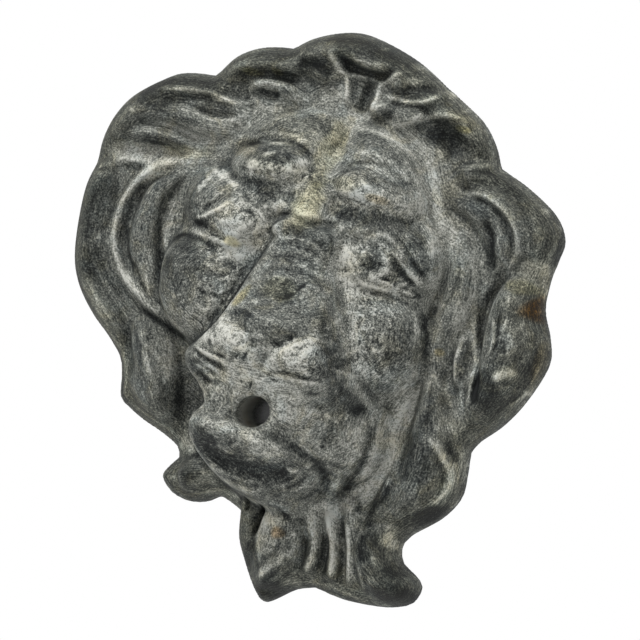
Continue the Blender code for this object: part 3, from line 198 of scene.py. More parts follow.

# Paler and darker streaks that follow the carving, some of them painted shade and painted light: their
# points, half width, and how pale
STREAKS = [
    # the valley round the head
    ((4, 35), (9, 34), (12, 31.6), (14.4, 28.8), (16.2, 25), (18, 21.6), (20.2, 17.4), (21.4, 13), 2, 0.8),
    ((20.6, 21.6), (23.4, 19), 1.2, 0.4), ((16, 33.4), (19, 29.6), (21, 25.6), 1.6, 0.2),
    ((26.4, 10), (27.4, 5), (27.4, 0), 1.3, 0.7), ((26.6, 21), (29.4, 18), (31, 14.6), 1.2, -0.4),
    ((21.4, 16), (21.8, 10), (23.4, 3), (24, -3), (22.6, -10), (20.8, -17), (19.4, -24), (17.6, -30), 1.6,
     0.35),
    ((-3, 35.8), (-9, 35), (-15, 32.4), (-20, 28), (-24, 23), 1.8, 0.4),
    ((-24, 21.6), (-31, 20), (-38, 18.6), (-42.6, 18), 1.5, 0.6),
    ((-22, 25.6), (-30, 25), (-38, 23.6), 1, 0.4), ((-28, 17.8), (-30, 15.4), (-30.6, 13), 0.9, -0.5),
    # the crown and the middle of the forehead
    ((-2.6, 36), (-4, 40), (-7, 44.6), 0.9, 0.5),
    ((-23, 36.6), (-18.6, 37.5), (-14, 38.3), (-11.4, 39), 0.9, -0.3),
    ((-14, 36.6), (-10, 36.8), (-7, 36.6), 0.8, -0.4), ((-4, 44.4), (0, 44), (4, 44.6), 1.2, 0.4),
    ((2.4, 36), (3.6, 41), (6, 44.6), 0.9, 0.4), ((-0.8, 37), (-1.2, 32), (-2.6, 28), (-4, 24), 1.8, 0.75),
    # painted shade under the brows, and beside the nose painted light and painted shade
    ((3, 18.8), (7, 19), (11, 19.4), (15.6, 19.4), 1.4, -0.3),
    ((-15, 19.4), (-10, 18.6), (-7, 18.2), 1.8, -0.4),
    # these two pale streaks are painted light along the foot of the nose's right flank, which lies in shade
    ((6.4, 15), (7, 9.6), (9.4, 4.4), (11.8, -0.4), (14, -5), (16.6, -9.4), 1.3, 0.8),
    ((5.4, 15.6), (5.6, 10), (7.4, 5), (9.4, 0), (11.8, -4.6), (14.6, -9.2), 1, 0.65),
    # the first streak here is painted shade on the nose's right flank, the second painted light at its foot
    ((6.2, 3), (8.8, -2), (10.6, -6), 1, -0.3), ((14.4, -6.6), (16.6, -9.4), (18.6, -12), 1.3, 0.5),
    ((-7.6, 16), (-8.4, 12), (-9.6, 8), 1.1, 0.6), ((-12.8, -1.4), (-14, -4.4), (-15.4, -7.4), 1.1, 0.9),
    ((-10.4, -3), (-11.4, -6), (-14, -9.4), 0.9, -0.5),
    ((-6.6, 10), (-7.4, 6), (-8.2, 2), (-9.2, -1), 0.9, -0.7),
    # painted light at the foot of the nose's right flank
    ((9, 3), (9.8, 0.4), (11.6, -2.6), (13.4, -5.8), (15.2, -8.6), 0.9, 0.7),
    ((3.8, 13), (4.2, 10), (5.4, 7), 0.7, -0.3),
    # painted shade along the nose's right flank
    ((6, 5.4), (7.6, 2.4), (9.2, -1.4), (11, -5.6), (13.2, -9.4), (15.4, -12), 1, -0.9),
    ((21, 14), (22, 9), (23, 5), 0.9, 0.5),
    ((15, 27.6), (17, 24), (19, 20.6), (21.4, 16), (22.4, 12), 0.8, 0.6),
    ((12, 36.2), (15, 35.6), (18.8, 33.2), 1.3, -0.7),
    ((-34.2, 14.6), (-32, 17.6), (-29.4, 19.4), 0.9, 0.8),
    ((-33, -1), (-30.6, -3.4), (-28, -4.6), 0.8, 0.5), ((-34.4, 24.9), (-30, 24.5), (-26, 23.6), 0.8, 0.6),
    # the first streak here is a painted highlight along the rim at the top right
    ((6, 48), (11, 46), (15.4, 43.4), 1.3, 0.9), ((-8.6, -1), (-10, -4), (-12, -8), (-13, -11), 1.2, -0.5),
    ((21.8, -5), (21.6, -10), (20.6, -14), (20.2, -20), (19, -25), (17, -29), (14.6, -33), 1.7, 1),
    # lips and jaw
    ((-7.6, -22.2), (-4, -21.9), (1, -22.6), (5.4, -24), (8.6, -25.4), 1.6, 0.5),
    # painted shade under the lower lip
    ((-8.4, -24), (-5.4, -26), (-1, -26.8), (4, -27.2), (9.6, -26.8), 1.7, -0.75),
    ((7.4, -21.6), (11, -23.2), (12.8, -26), (12.2, -29.4), 0.8, -0.6),
    ((3, -19.8), (8, -20), (12, -21.4), 1.3, 0.4),
    ((17.6, -14), (18, -18.6), (17.2, -23), (15.4, -27), (13, -30.2), 0.7, -0.6),
    # left lower locks
    ((-38.4, -3.6), (-35.4, -7), (-32, -10), 1.2, 0.7), ((-34.6, 17.4), (-33.2, 14.6), (-32.6, 12), 1, 0.5),
    ((-28.4, 13), (-28, 8), (-27, 3), 1, 0.6), ((-35, 0), (-31.6, -3.6), 1, 0.4),
    ((-30, 25), (-23, 24.2), 1, 0.5), ((-15.4, -26), (-12.6, -29), 0.9, 0.5),
    ((-37, -9), (-33, -12.4), (-29.8, -15.6), (-28.6, -20), 0.7, 0.3),
    # right mane, beard
    ((30.4, 13.6), (29.8, 8), (30.2, 3), (31.6, -3), (33.4, -9), 0.9, 0.25),
    ((13, 45), (18, 42.6), (24, 38.6), 1.8, 0.5), ((22.6, -24), (21.8, -28), (20.8, -33), 1, -0.9),
    ((27.4, -13.6), (30.4, -16.2), (32.4, -19), (32.6, -22), (30.8, -24.8), 0.9, 0.6),
    ((18, -27), (18.6, -31), 0.6, -0.4), ((18.6, -28), (15, -32.6), (13.4, -37), (13.8, -42), 0.8, 0.15),
    ((20.6, -29), (18.4, -34), (19, -40), 0.7, 0.3), ((4.6, -34), (4.2, -39), (4.6, -44), 0.6, 0.3),
    ((6, -33.4), (8, -35.2), 0.4, -0.7), ((-5, -33.4), (-1.2, -34.2), 0.8, 0.4),
]

# The finer chiselled lines, as the photograph shows them on a plane so far from the wall: their points,
# half width, and how pale. A pale line stands up, a dark one is cut in
MANE_PLANE, FACE_PLANE, MUZZLE_PLANE = 12, 18, 22
CROWN_LINES = [
    ((-7.2, 45), (-6, 43.6), (-4.6, 42.4), (-3.2, 41.6), 0.35, 0.7),
    ((-3.2, 42), (-2.6, 40.6), (-2.2, 39), (-1.8, 37.2), 0.35, 0.65),
    ((-3.8, 41.9), (-1.5, 42), (0.8, 42.3), 0.25, 0.7),
    # a dark line as painted shadow under the rolled tuft
    ((-6.2, 44.6), (-3.6, 43.3), (0, 43.1), (4.4, 44.4), 0.9, -0.35),
    ((-5, 45.6), (-2, 44.8), (1, 44.8), (4, 45.4), 0.5, 0.35),
    ((7.6, 45.6), (6, 44.4), (4.6, 42.6), (2.6, 41.2), 0.35, 0.5),
    ((2.4, 41.8), (3.2, 40.4), (3.4, 39), (2.6, 37.2), (1.9, 35.4), 0.5, 0.5),
    ((4.8, 39.4), (4, 37.8), (2.9, 36.2), (2.7, 34.6), 0.3, 0.5),
    ((-1.2, 42), (-1, 40), (-0.5, 37.6), 0.5, -0.4),
    ((1.2, 42.2), (1.2, 40), (0.8, 37), (0.8, 35.4), 0.5, -0.45),
    ((0.3, 41.8), (0.2, 39), (0.3, 37), 0.2, 0.4),
    ((3.4, 39.9), (6, 40.1), (9, 40.2), (11.4, 40.8), (13, 42), (14.8, 44.1), 0.35, 0.85),
    ((4, 41.2), (6.4, 41.4), (9, 41.6), (11.4, 42), 0.8, -0.5),
    ((5.4, 42.8), (7, 43.8), (9.4, 44.6), 0.9, -0.4), ((7.4, 43.6), (8.6, 44), (9.6, 43.4), 0.6, 0.5),
    ((4.6, 38.9), (7, 39.2), (9, 39.5), (13, 40.2), 0.45, -0.6),
    ((5, 36.4), (6, 37.8), (7, 38.3), 0.7, -0.5),
    ((6.8, 34.6), (9, 36), (12, 37.9), (14.4, 39.1), (17, 39.8), (20.4, 39.4), 0.42, 0.7),
    ((13.6, 36), (15.6, 37), (18, 36.9), (20.6, 35.4), (22.8, 33.8), 1.3, -0.4),
    ((12.8, 37.6), (12.9, 36), (14, 34.6), (16, 33.8), (18.6, 33), 0.3, 0.45),
    ((18.6, 34), (20.2, 35.4), (21.4, 35.2), (22.4, 34.2), (24, 33), 0.28, 0.6),
    # the tufts left of the middle
    ((-12.6, 41.6), (-10, 42.6), (-7, 41.6), (-4.8, 40.6), 0.9, -0.6),
    ((-10.4, 39.8), (-8, 38.6), (-6.8, 36.6), (-7, 35), 0.4, -0.4),
    ((-24, 36), (-21.6, 36.6), (-18, 37.4), (-14, 38), (-11, 37.8), 0.4, -0.25),
    ((-19.6, 34.8), (-17.8, 35.9), (-15, 36.4), (-12.6, 36.3), 0.3, 0.6),
    ((-18.4, 34.8), (-16.4, 35.2), (-14.8, 35), 0.4, -0.6), ((-14.6, 34.9), (-13.2, 35.7), 0.4, -0.8),
    ((-19.6, 33.4), (-18.6, 33.5), 0.4, -0.9),
    ((-36, 30.6), (-32, 31.4), (-29, 32), (-25, 32.5), (-22, 32.1), (-18.6, 31.8), 0.33, 0.7),
    ((-29.4, 30.9), (-26, 30.7), (-23, 30.9), (-20, 31.1), 0.6, -0.3),
    ((-30.4, 29.4), (-28, 28.8), (-25.6, 28.2), (-23, 28.3), (-20.6, 29), (-18.2, 30.4), 0.4, 0.65),
    ((-37, 27.4), (-34.6, 28.5), (-31.4, 29.2), 0.35, 0.45),
    ((-36.4, 26.8), (-33, 27), (-30, 26.7), (-26, 27), 0.6, -0.4),
    ((-36, 25), (-32, 25.2), (-28, 24.9), (-25, 24.4), (-21.6, 24.6), 0.35, 0.55),
    ((-37, 22.2), (-33, 22.2), (-30, 22.7), (-27, 22.9), 0.8, -0.45),
    ((-40.4, 15), (-37.6, 16.6), (-35, 17.9), (-33, 18.4), (-32.1, 17.4), (-32, 16), 0.3, 0.6),
    ((-37, 16), (-35, 16.8), (-33.4, 16.4), 0.7, -0.6),
    ((-19, 34.4), (-16, 32.8), (-13.4, 32.6), (-11, 33.4), 0.3, 0.35),
    ((-20, 29.6), (-17.6, 30.4), (-17.4, 28), 0.25, 0.5),
    # fine arcs round the brows
    ((0.4, 32.4), (3, 33.6), (6, 33.4), (9.6, 32.6), (12.4, 31.2), (15, 28.6), 0.25, 0.6),
    ((0.8, 31.4), (3, 32.5), (7, 32.5), (10, 31.5), (13, 29.4), (14.8, 26.6), 0.3, -0.35),
    ((1, 30), (4, 31.3), (8, 30.9), (11, 29.5), (13.4, 27), (15.2, 23.4), 0.25, -0.3),
    ((1.4, 28.6), (4, 29.8), (8, 29.5), (11, 28), (13, 25.8), 0.22, 0.3),
    ((1.8, 26.2), (4, 27.4), (7, 27.5), (10, 26.7), (12.4, 25.2), 0.22, 0.45),
    ((0.6, 24), (2.6, 26.2), (6, 26.8), (9.4, 26), (12, 24.9), 0.25, -0.5),
    ((-14, 32), (-11, 33.2), (-7, 33.3), (-4.6, 32), (-3, 29.8), 0.35, -0.45),
    ((-16, 30), (-12, 31.4), (-7, 31.2), (-4.4, 29.4), (-3.2, 27.4), 0.25, 0.3),
    ((-16.4, 28), (-12, 29.4), (-7.4, 29.6), (-4.6, 27.8), 0.25, -0.35),
]

FACE_LINES = [
    # left brow
    ((-17, 25.4), (-12.6, 26.8), (-10, 27.9), (-7.4, 28.2), (-5, 27.4), (-3.2, 25.6), 0.3, -0.65),
    ((-13.6, 26.9), (-11, 27.2), (-9, 27.4), 0.2, 0.95), ((-15, 26), (-12, 25.6), (-9.6, 27), 0.3, -0.4),
    ((-9.1, 25.2), (-8.8, 24), (-8.3, 23.3), (-7.7, 22.8), 0.2, 1.1),
    ((-6.2, 24.8), (-4.8, 25), (-3.8, 24.4), 0.8, 0.7),
    ((-4.3, 22), (-4.1, 23.1), (-3.1, 23.4), (-2.4, 22.3), 0.22, -1.1),
    ((-4.6, 22), (-4.4, 20.6), (-4.6, 18), 0.25, 0.5),
    ((-14.4, 22.6), (-13.2, 23.2), (-12.6, 24.6), 0.28, 0.9), ((-13.8, 21.8), (-12.9, 21.8), 0.35, 1.5),
    ((-13.2, 21.4), (-13.3, 19.8), 0.22, 0.9),
    ((-15.6, 21.6), (-12, 21.5), (-10, 22), (-8.4, 22.5), 0.25, -0.9),
    # the next two dark lines are painted shade under the left brow
    ((-15, 20.2), (-12, 19.6), (-9, 19.6), (-6, 20.2), 0.8, -0.5),
    ((-12, 18.4), (-9.6, 18.4), (-7.4, 17.4), 0.5, -0.6),
    ((-7, 18.2), (-5.8, 17.2), (-5.2, 16.2), 0.22, 0.9),
    # left eye
    ((-20.4, 19.9), (-17.6, 19.2), (-15.6, 18.4), (-14.4, 18.1), 0.5, 1.7),
    ((-18.8, 20.4), (-17.4, 20), (-16.8, 19.5), 0.25, 1.4),
    ((-20, 19.2), (-20.8, 18.6), (-20.2, 18), (-21.2, 17.5), (-20.7, 16.8), (-21.8, 16.5), (-21.2, 15.8),
     (-22.2, 15.3), 0.25, 1.3),
    ((-20.6, 19), (-21.6, 17.4), (-22.4, 15.6), (-23, 13), 0.4, -0.6),
    ((-15.2, 15.8), (-16.8, 14), (-18.4, 12.6), (-20, 11.4), (-21, 10.9), 0.3, 1),
    ((-17.4, 12), (-19, 11), (-21, 9.8), 0.7, -0.6), ((-17.8, 9.2), (-16, 8.9), (-14.2, 8.5), 0.28, -1.2),
    ((-21.8, 8.9), (-18, 8.4), (-15, 8), (-11.6, 7.4), 0.45, 0.75), ((-22.6, 13.8), (-22, 12), 0.9, -0.5),
    ((-14, 12), (-13.8, 13.6), (-12.4, 14.6), (-10.8, 14), (-10, 12.6), (-10.4, 11), 0.28, -0.8),
    ((-13.4, 12.2), (-12.4, 13.2), (-11.4, 12.2), 0.25, -0.8),
    ((-13, 11.2), (-11.8, 11.4), (-10.6, 12), 0.22, 0.8),
    ((-14.8, 15), (-13, 15.8), (-11, 15.4), (-9.4, 13.8), 0.3, 0.5),
    # left cheek
    ((-24.4, 4), (-23.8, 6.2), (-22, 7.7), (-19, 7.7), (-16, 6.7), (-14, 5.4), 0.45, -0.85),
    ((-14.9, 4.4), (-14.8, 5.4), (-14, 5.9), (-12.4, 6), 0.22, 0.9), ((-12.2, 4.2), (-11.3, 4.9), 0.35, -1),
    ((-14, 1.6), (-12.8, 2.4), (-11.6, 3.4), 0.3, 0.8), ((-13.8, 2.2), (-12.4, 3.2), 0.22, -0.9),
    ((-17.6, -0.4), (-15.6, -1), (-14, -0.8), (-12.8, -1.4), 0.3, -0.9),
    ((-16, 0.4), (-14.4, -0.2), (-13, -0.4), 0.22, 0.9), ((-16.4, -3), (-15, -4), (-13.6, -3.6), 0.4, 0.6),
    ((-10.9, 4.6), (-12.4, 1), (-14.2, -3), 0.22, 0.35),
    # nose
    ((-7.6, 10.6), (-7.2, 13), (-6.2, 14.6), (-4.8, 15.2), 0.25, -0.9),
    ((0, 15.1), (1.7, 15.1), (3.1, 14.6), (4, 13), (4.5, 10.6), 0.28, -0.9),
    ((-6.9, 10.8), (-6.6, 12.8), (-5.8, 14), 0.2, 0.6), ((-5.8, 12.6), (-5.2, 11.4), 0.2, 1),
    ((-4, 14.4), (-2.8, 13.6), (-1, 14), 0.4, -0.5), ((1.8, 13.1), (2.7, 12.3), 0.7, -0.7),
    ((-5.8, 11.2), (-3, 12.3), (0, 12.3), (2.4, 11.2), 0.25, 0.5),
    ((-6.2, 10), (-3, 11.3), (0.6, 11.2), (3.6, 9.8), 0.22, -0.4),
    ((-6.4, 8.6), (-3, 10), (1, 10), (4.2, 8.4), 0.2, 0.4),
    ((-7, 7.4), (-3, 9), (1.4, 9), (5, 7), 0.22, -0.35),
    ((-7.4, 6), (-3, 7.8), (2, 7.8), (5.6, 5.6), 0.2, 0.4),
    ((-7.6, 4.8), (-3, 6.6), (2, 6.6), (5.8, 4.4), 0.22, -0.35),
    ((-8, 3.6), (-3, 5.4), (2, 5.4), (6.4, 3.2), 0.2, 0.35), ((-8.4, 2.4), (-3.6, 4), (1, 4), 0.2, -0.4),
    ((-8.6, 6.4), (-9.9, 2), (-11.4, -2.4), (-13.2, -7), 0.2, 0.5),
    ((-9.3, 7), (-10.6, 2.4), (-12.4, -2.6), (-14.4, -8), 0.25, -0.6),
    ((-8, 7), (-9.4, 2.4), (-10.8, -1.4), 0.22, -0.5),
    ((6.2, 4.6), (8, 2.4), (10, -0.8), (12, -4), 0.2, 0.7),
    ((6, 9), (8, 5.2), (10.4, 1), (12.6, -3), (15, -7), 0.25, -0.15),
    ((6.6, 10), (8.8, 5.6), (11.2, 1.4), (13.6, -3.4), (16, -7.6), 0.22, 0.45),
    ((5.6, 1), (6.4, -0.6), (6.8, -2.4), 0.25, -0.7), ((4.8, 3.2), (5.4, 1.6), 0.25, 0.9),
    # right brow
    ((1, 23), (2.2, 25), (3.2, 26.4), 0.35, -0.5),
    ((3, 21.7), (5, 21.3), (6.6, 21.3), (7.2, 20.8), (8.6, 22.6), 0.22, -1),
    ((11, 21.4), (13.6, 22.2), (15.4, 22.6), (16.8, 22.2), (17.7, 20.6), 0.25, -0.8),
    ((8.7, 22.2), (9.4, 21.6), 0.4, 1.2), ((3.2, 22.6), (5.6, 22.2), (8, 23), (9, 24), 0.5, 0.3),
    ((12, 24), (13.4, 22.9), (16, 22.9), 0.4, 0.5),
    ((14.2, 21.4), (15.4, 20.6), (16.4, 21.2), (17, 20), 0.25, 0.8), ((9.8, 24.6), (10.4, 23.2), 0.22, 0.8),
    # the first two lines here are painted shade under the right brow
    ((3, 17.8), (6, 18.8), (9, 19), (13, 19.4), 1.4, -0.5), ((3.4, 17.6), (4.6, 18.6), 0.6, -0.6),
    ((1.6, 17.4), (2.6, 16.6), 0.3, 0.7), ((2, 18.6), (3, 17.4), 0.22, 0.7),
    # right eye
    ((7.4, 15.2), (9.4, 15.8), (11.4, 16.9), (13.4, 16.7), (14.8, 15.4), 0.4, 0.75),
    ((14.4, 15.2), (16, 13.5), (18, 12), (20, 10.9), (21.8, 9.6), 0.42, 0.9),
    ((13.6, 14.9), (15.6, 13), (18, 11), (20.6, 9.5), 0.55, -0.8),
    ((17, 14.6), (19, 13), (21, 12), 0.7, -0.6), ((17.4, 17.6), (19.4, 16.4), (20.4, 14.4), 0.5, -0.4),
    ((12.2, 13.9), (13.7, 13.1), (14.5, 11.7), (14, 10.4), (12.6, 9.3), (11.8, 8.8), 0.4, 0.95),
    ((8.8, 14.8), (7.6, 13.4), (7.3, 11.8), (7.9, 10.2), (9.4, 9.2), 0.5, 0.6),
    ((9.6, 14), (9, 12.4), (9.6, 10.8), (11, 10), 0.35, -0.6),
    ((13, 9), (16, 8.9), (18.4, 8.6), (20.6, 8.1), 0.3, 0.9),
    ((13.4, 9.9), (15.8, 9.7), (17.6, 10), 0.3, -0.7), ((17.4, 8.1), (19.6, 8.1), (21.4, 8.3), 0.22, -1),
    ((19.4, 9.5), (20.6, 8.8), (21.6, 8.2), 0.3, -1),
    ((9, 7.6), (12, 7.9), (16, 7.7), (19.8, 7.2), 0.25, 0.6),
    ((16.6, 7.4), (18.4, 6.9), (20, 6.8), 0.22, -0.7), ((15.4, 6.2), (16.8, 5.8), 0.6, -0.5),
    ((7, 6.6), (9, 6.2), (12, 5.6), 0.3, 0.4),
    # edge of the face on the right
    ((18.4, 21), (20.2, 19.6), (21.4, 17.4), (21.7, 14.8), 0.22, 0.7),
    ((19.6, 20.6), (21.2, 18.6), (22.2, 16.2), (22.8, 13.4), (22.6, 10.6), 0.28, -0.4),
    ((23.8, 16), (24, 12), (23.2, 8.6), (21.8, 7), 0.5, 0.35),
    ((22, 6.6), (23.4, 4.4), (24.4, 2), (24.8, -0.4), (25.6, -2.4), 0.25, -1.1),
    ((21.4, 4.8), (22.4, 2), (22.8, -0.8), 0.22, 0.45), ((20.6, 6.4), (22, 4), (23, 1), 0.22, 0.4),
    ((11.4, 2.6), (13, 2.7), 0.25, 1), ((10.4, 5), (11.4, 4), (12.6, 4.8), 0.3, 0.8),
    ((10.8, 0), (10.6, -2), (11.8, -4), 0.4, 0.5),
]

MUZZLE_LINES = [
    # whisker folds
    ((-13.4, -9.7), (-10, -10.3), (-7, -10), (-4.6, -9.2), 0.28, -0.8),
    ((-13.4, -10), (-10, -10.9), (-7, -11.3), (-5.2, -11), 0.38, 0.75),
    ((-13, -11), (-10.8, -11.8), (-8, -12.3), (-6.2, -11.9), 0.4, -0.7),
    ((-12.6, -12.5), (-9.6, -13), (-6.8, -13.4), 0.38, 0.6),
    ((-14, -12.6), (-12, -14), (-9.6, -14.8), (-7, -14.2), 0.55, -0.6),
    ((-13, -15.2), (-10.4, -16.2), (-8.6, -15.6), 0.35, 0.35),
    ((2, -9.8), (5, -9.9), (7.6, -9.8), (10.4, -9.2), 0.22, -0.3),
    ((3, -10.7), (6, -10.6), (9.6, -10.3), 0.5, 0.6), ((1, -12), (2.8, -11.8), 0.5, -0.8),
    ((6, -12.5), (8, -12.2), (10.2, -11.9), 0.25, -0.6), ((5, -13.4), (7.6, -13), (10, -12.8), 0.3, 0.4),
    ((-3.9, -7.6), (-4.6, -9.2), (-5, -9.9), 0.2, -1.2), ((-5.5, -8.9), (-6.1, -9.9), 0.2, -1.2),
    ((-11.4, -7), (-11, -9), 0.18, -1.1), ((-11.9, -7), (-11.5, -9), 0.2, 0.9),
    ((-2.1, -12.6), (-2.4, -13.8), (-2.3, -14.5), 0.22, -1.2),
    # pads and the nose leather
    ((-9, -4.6), (-6.6, -5.2), (-4.4, -6.8), (-3.8, -8.4), 0.25, 0.5),
    ((-11.4, -5), (-9, -7.4), (-6, -8.6), 0.2, -0.4), ((-10.8, -4), (-8, -6), (-5, -7.6), 0.2, -0.35),
    ((1.4, -7), (4, -5.6), (7, -5.2), (9.8, -4), 0.22, -0.4), ((1.6, -8), (4.4, -7), (8, -6.8), 0.2, 0.5),
    ((2, -5.6), (5, -4.2), (8.6, -2.4), 0.25, 0.5), ((3, -8.8), (6, -8.2), (9.6, -7.8), 0.2, -0.35),
    ((-8.8, -2.6), (-7, -2.2), (-5, -2.9), 0.6, -0.9),
    ((-4.4, -3.6), (-2.4, -4.6), (-0.6, -5.8), (1.2, -5.6), 0.4, -0.35),
    ((1.4, -4.8), (2.8, -3.6), (4.6, -3.2), 0.4, -0.6),
    ((-3, -1.6), (-1, -2.4), (1, -2.2), (3, -1), 0.5, 0.35), ((-6, 0.4), (-4.6, 0), 0.3, 1),
    ((9.2, -3.4), (9.9, -6), (10.6, -8.6), 0.35, -0.5), ((8.8, -2.6), (9.8, -5), 0.2, 0.6),
    # folds from the nose to the corner of the mouth
    ((12.6, -5), (15, -8.4), (17.6, -10.8), (20, -13), 0.35, 0.45),
    ((10.6, -7), (11.4, -11), (11.8, -14), 0.5, -0.35), ((14.4, -15.2), (15.6, -13.2), 0.18, 0.9),
    ((15, -15.4), (16.3, -13.2), 0.18, 0.9), ((14.7, -15.2), (15.9, -13.2), 0.16, -0.8),
    ((16.4, -14.2), (17.2, -12.8), (18.4, -12), 0.6, -0.9),
    ((13.4, -15), (13.2, -18), (12.6, -20.6), 0.35, -0.5), ((12.7, -20.2), (12.6, -21), 0.3, -1),
    ((17.8, -18.6), (18, -18.8), 0.28, -1.2),
    ((20, -14.6), (20.7, -18), (20.2, -22), (18.8, -26), (16.6, -29.4), 0.4, -0.7),
    ((15.2, -23), (17.6, -23.4), 0.25, -0.6), ((19.8, -13.4), (20.4, -15), 0.25, 0.5),
    # lips and chin
    ((2.4, -20.5), (4.8, -20.7), (7.4, -21.4), (9, -22.8), 0.4, -0.3),
    ((4.8, -19.6), (8, -20.2), (10.6, -22.4), (12, -25), 0.28, 0.45),
    ((-7.4, -21.6), (-3, -20.8), (1, -21.3), (4.4, -22.5), (8, -24.4), 0.5, 0.6),
    ((-8.8, -22.4), (-7.4, -24), (-5, -24.4), 0.6, -0.6),
    ((-5, -23), (-3.4, -23.4), (-2.6, -24.4), 0.35, -0.4),
    ((-5.2, -25), (-3, -25.8), (-1.6, -25.6), 0.28, 0.9), ((1, -24.7), (3.6, -24.6), (5, -24.2), 0.25, 0.5),
    ((-5, -26.9), (-1, -26.5), (3, -25.5), 0.18, 0.6), ((-3, -27.6), (1, -27.5), (5, -26.6), 0.18, 0.4),
    ((-10.9, -22.4), (-9.3, -25.8), (-6.7, -28.6), (-3.4, -30.2), 0.22, 0.7),
    ((-9.8, -24), (-7.8, -27), (-5, -29), 0.25, -0.6),
    ((-8.8, -24.4), (-7, -27), (-4, -28.8), (0, -29.6), (4, -29.4), 0.2, 0.4),
    ((-4.4, -29.8), (0, -30.3), (5, -30), 0.22, -0.45), ((-4, -30.6), (0, -31.2), (5, -31), 0.22, 0.35),
    ((-3.4, -31.7), (0.6, -32.2), (6, -32.3), 0.35, -0.7),
    ((6.4, -28.6), (8, -27.4), (9, -25.8), 0.22, 0.6), ((7.6, -29), (9.4, -27.4), (10.6, -25.6), 0.22, 0.5),
    ((9, -29.8), (11, -28.4), (12.4, -26.4), 0.22, 0.45),
    ((8.4, -29.4), (10.2, -27.8), (11.6, -26), 0.22, -0.7),
    ((10.6, -31), (12.6, -29.6), (14, -27.6), 0.25, -0.6), ((6, -27.4), (7.4, -26), 0.22, -0.8),
]

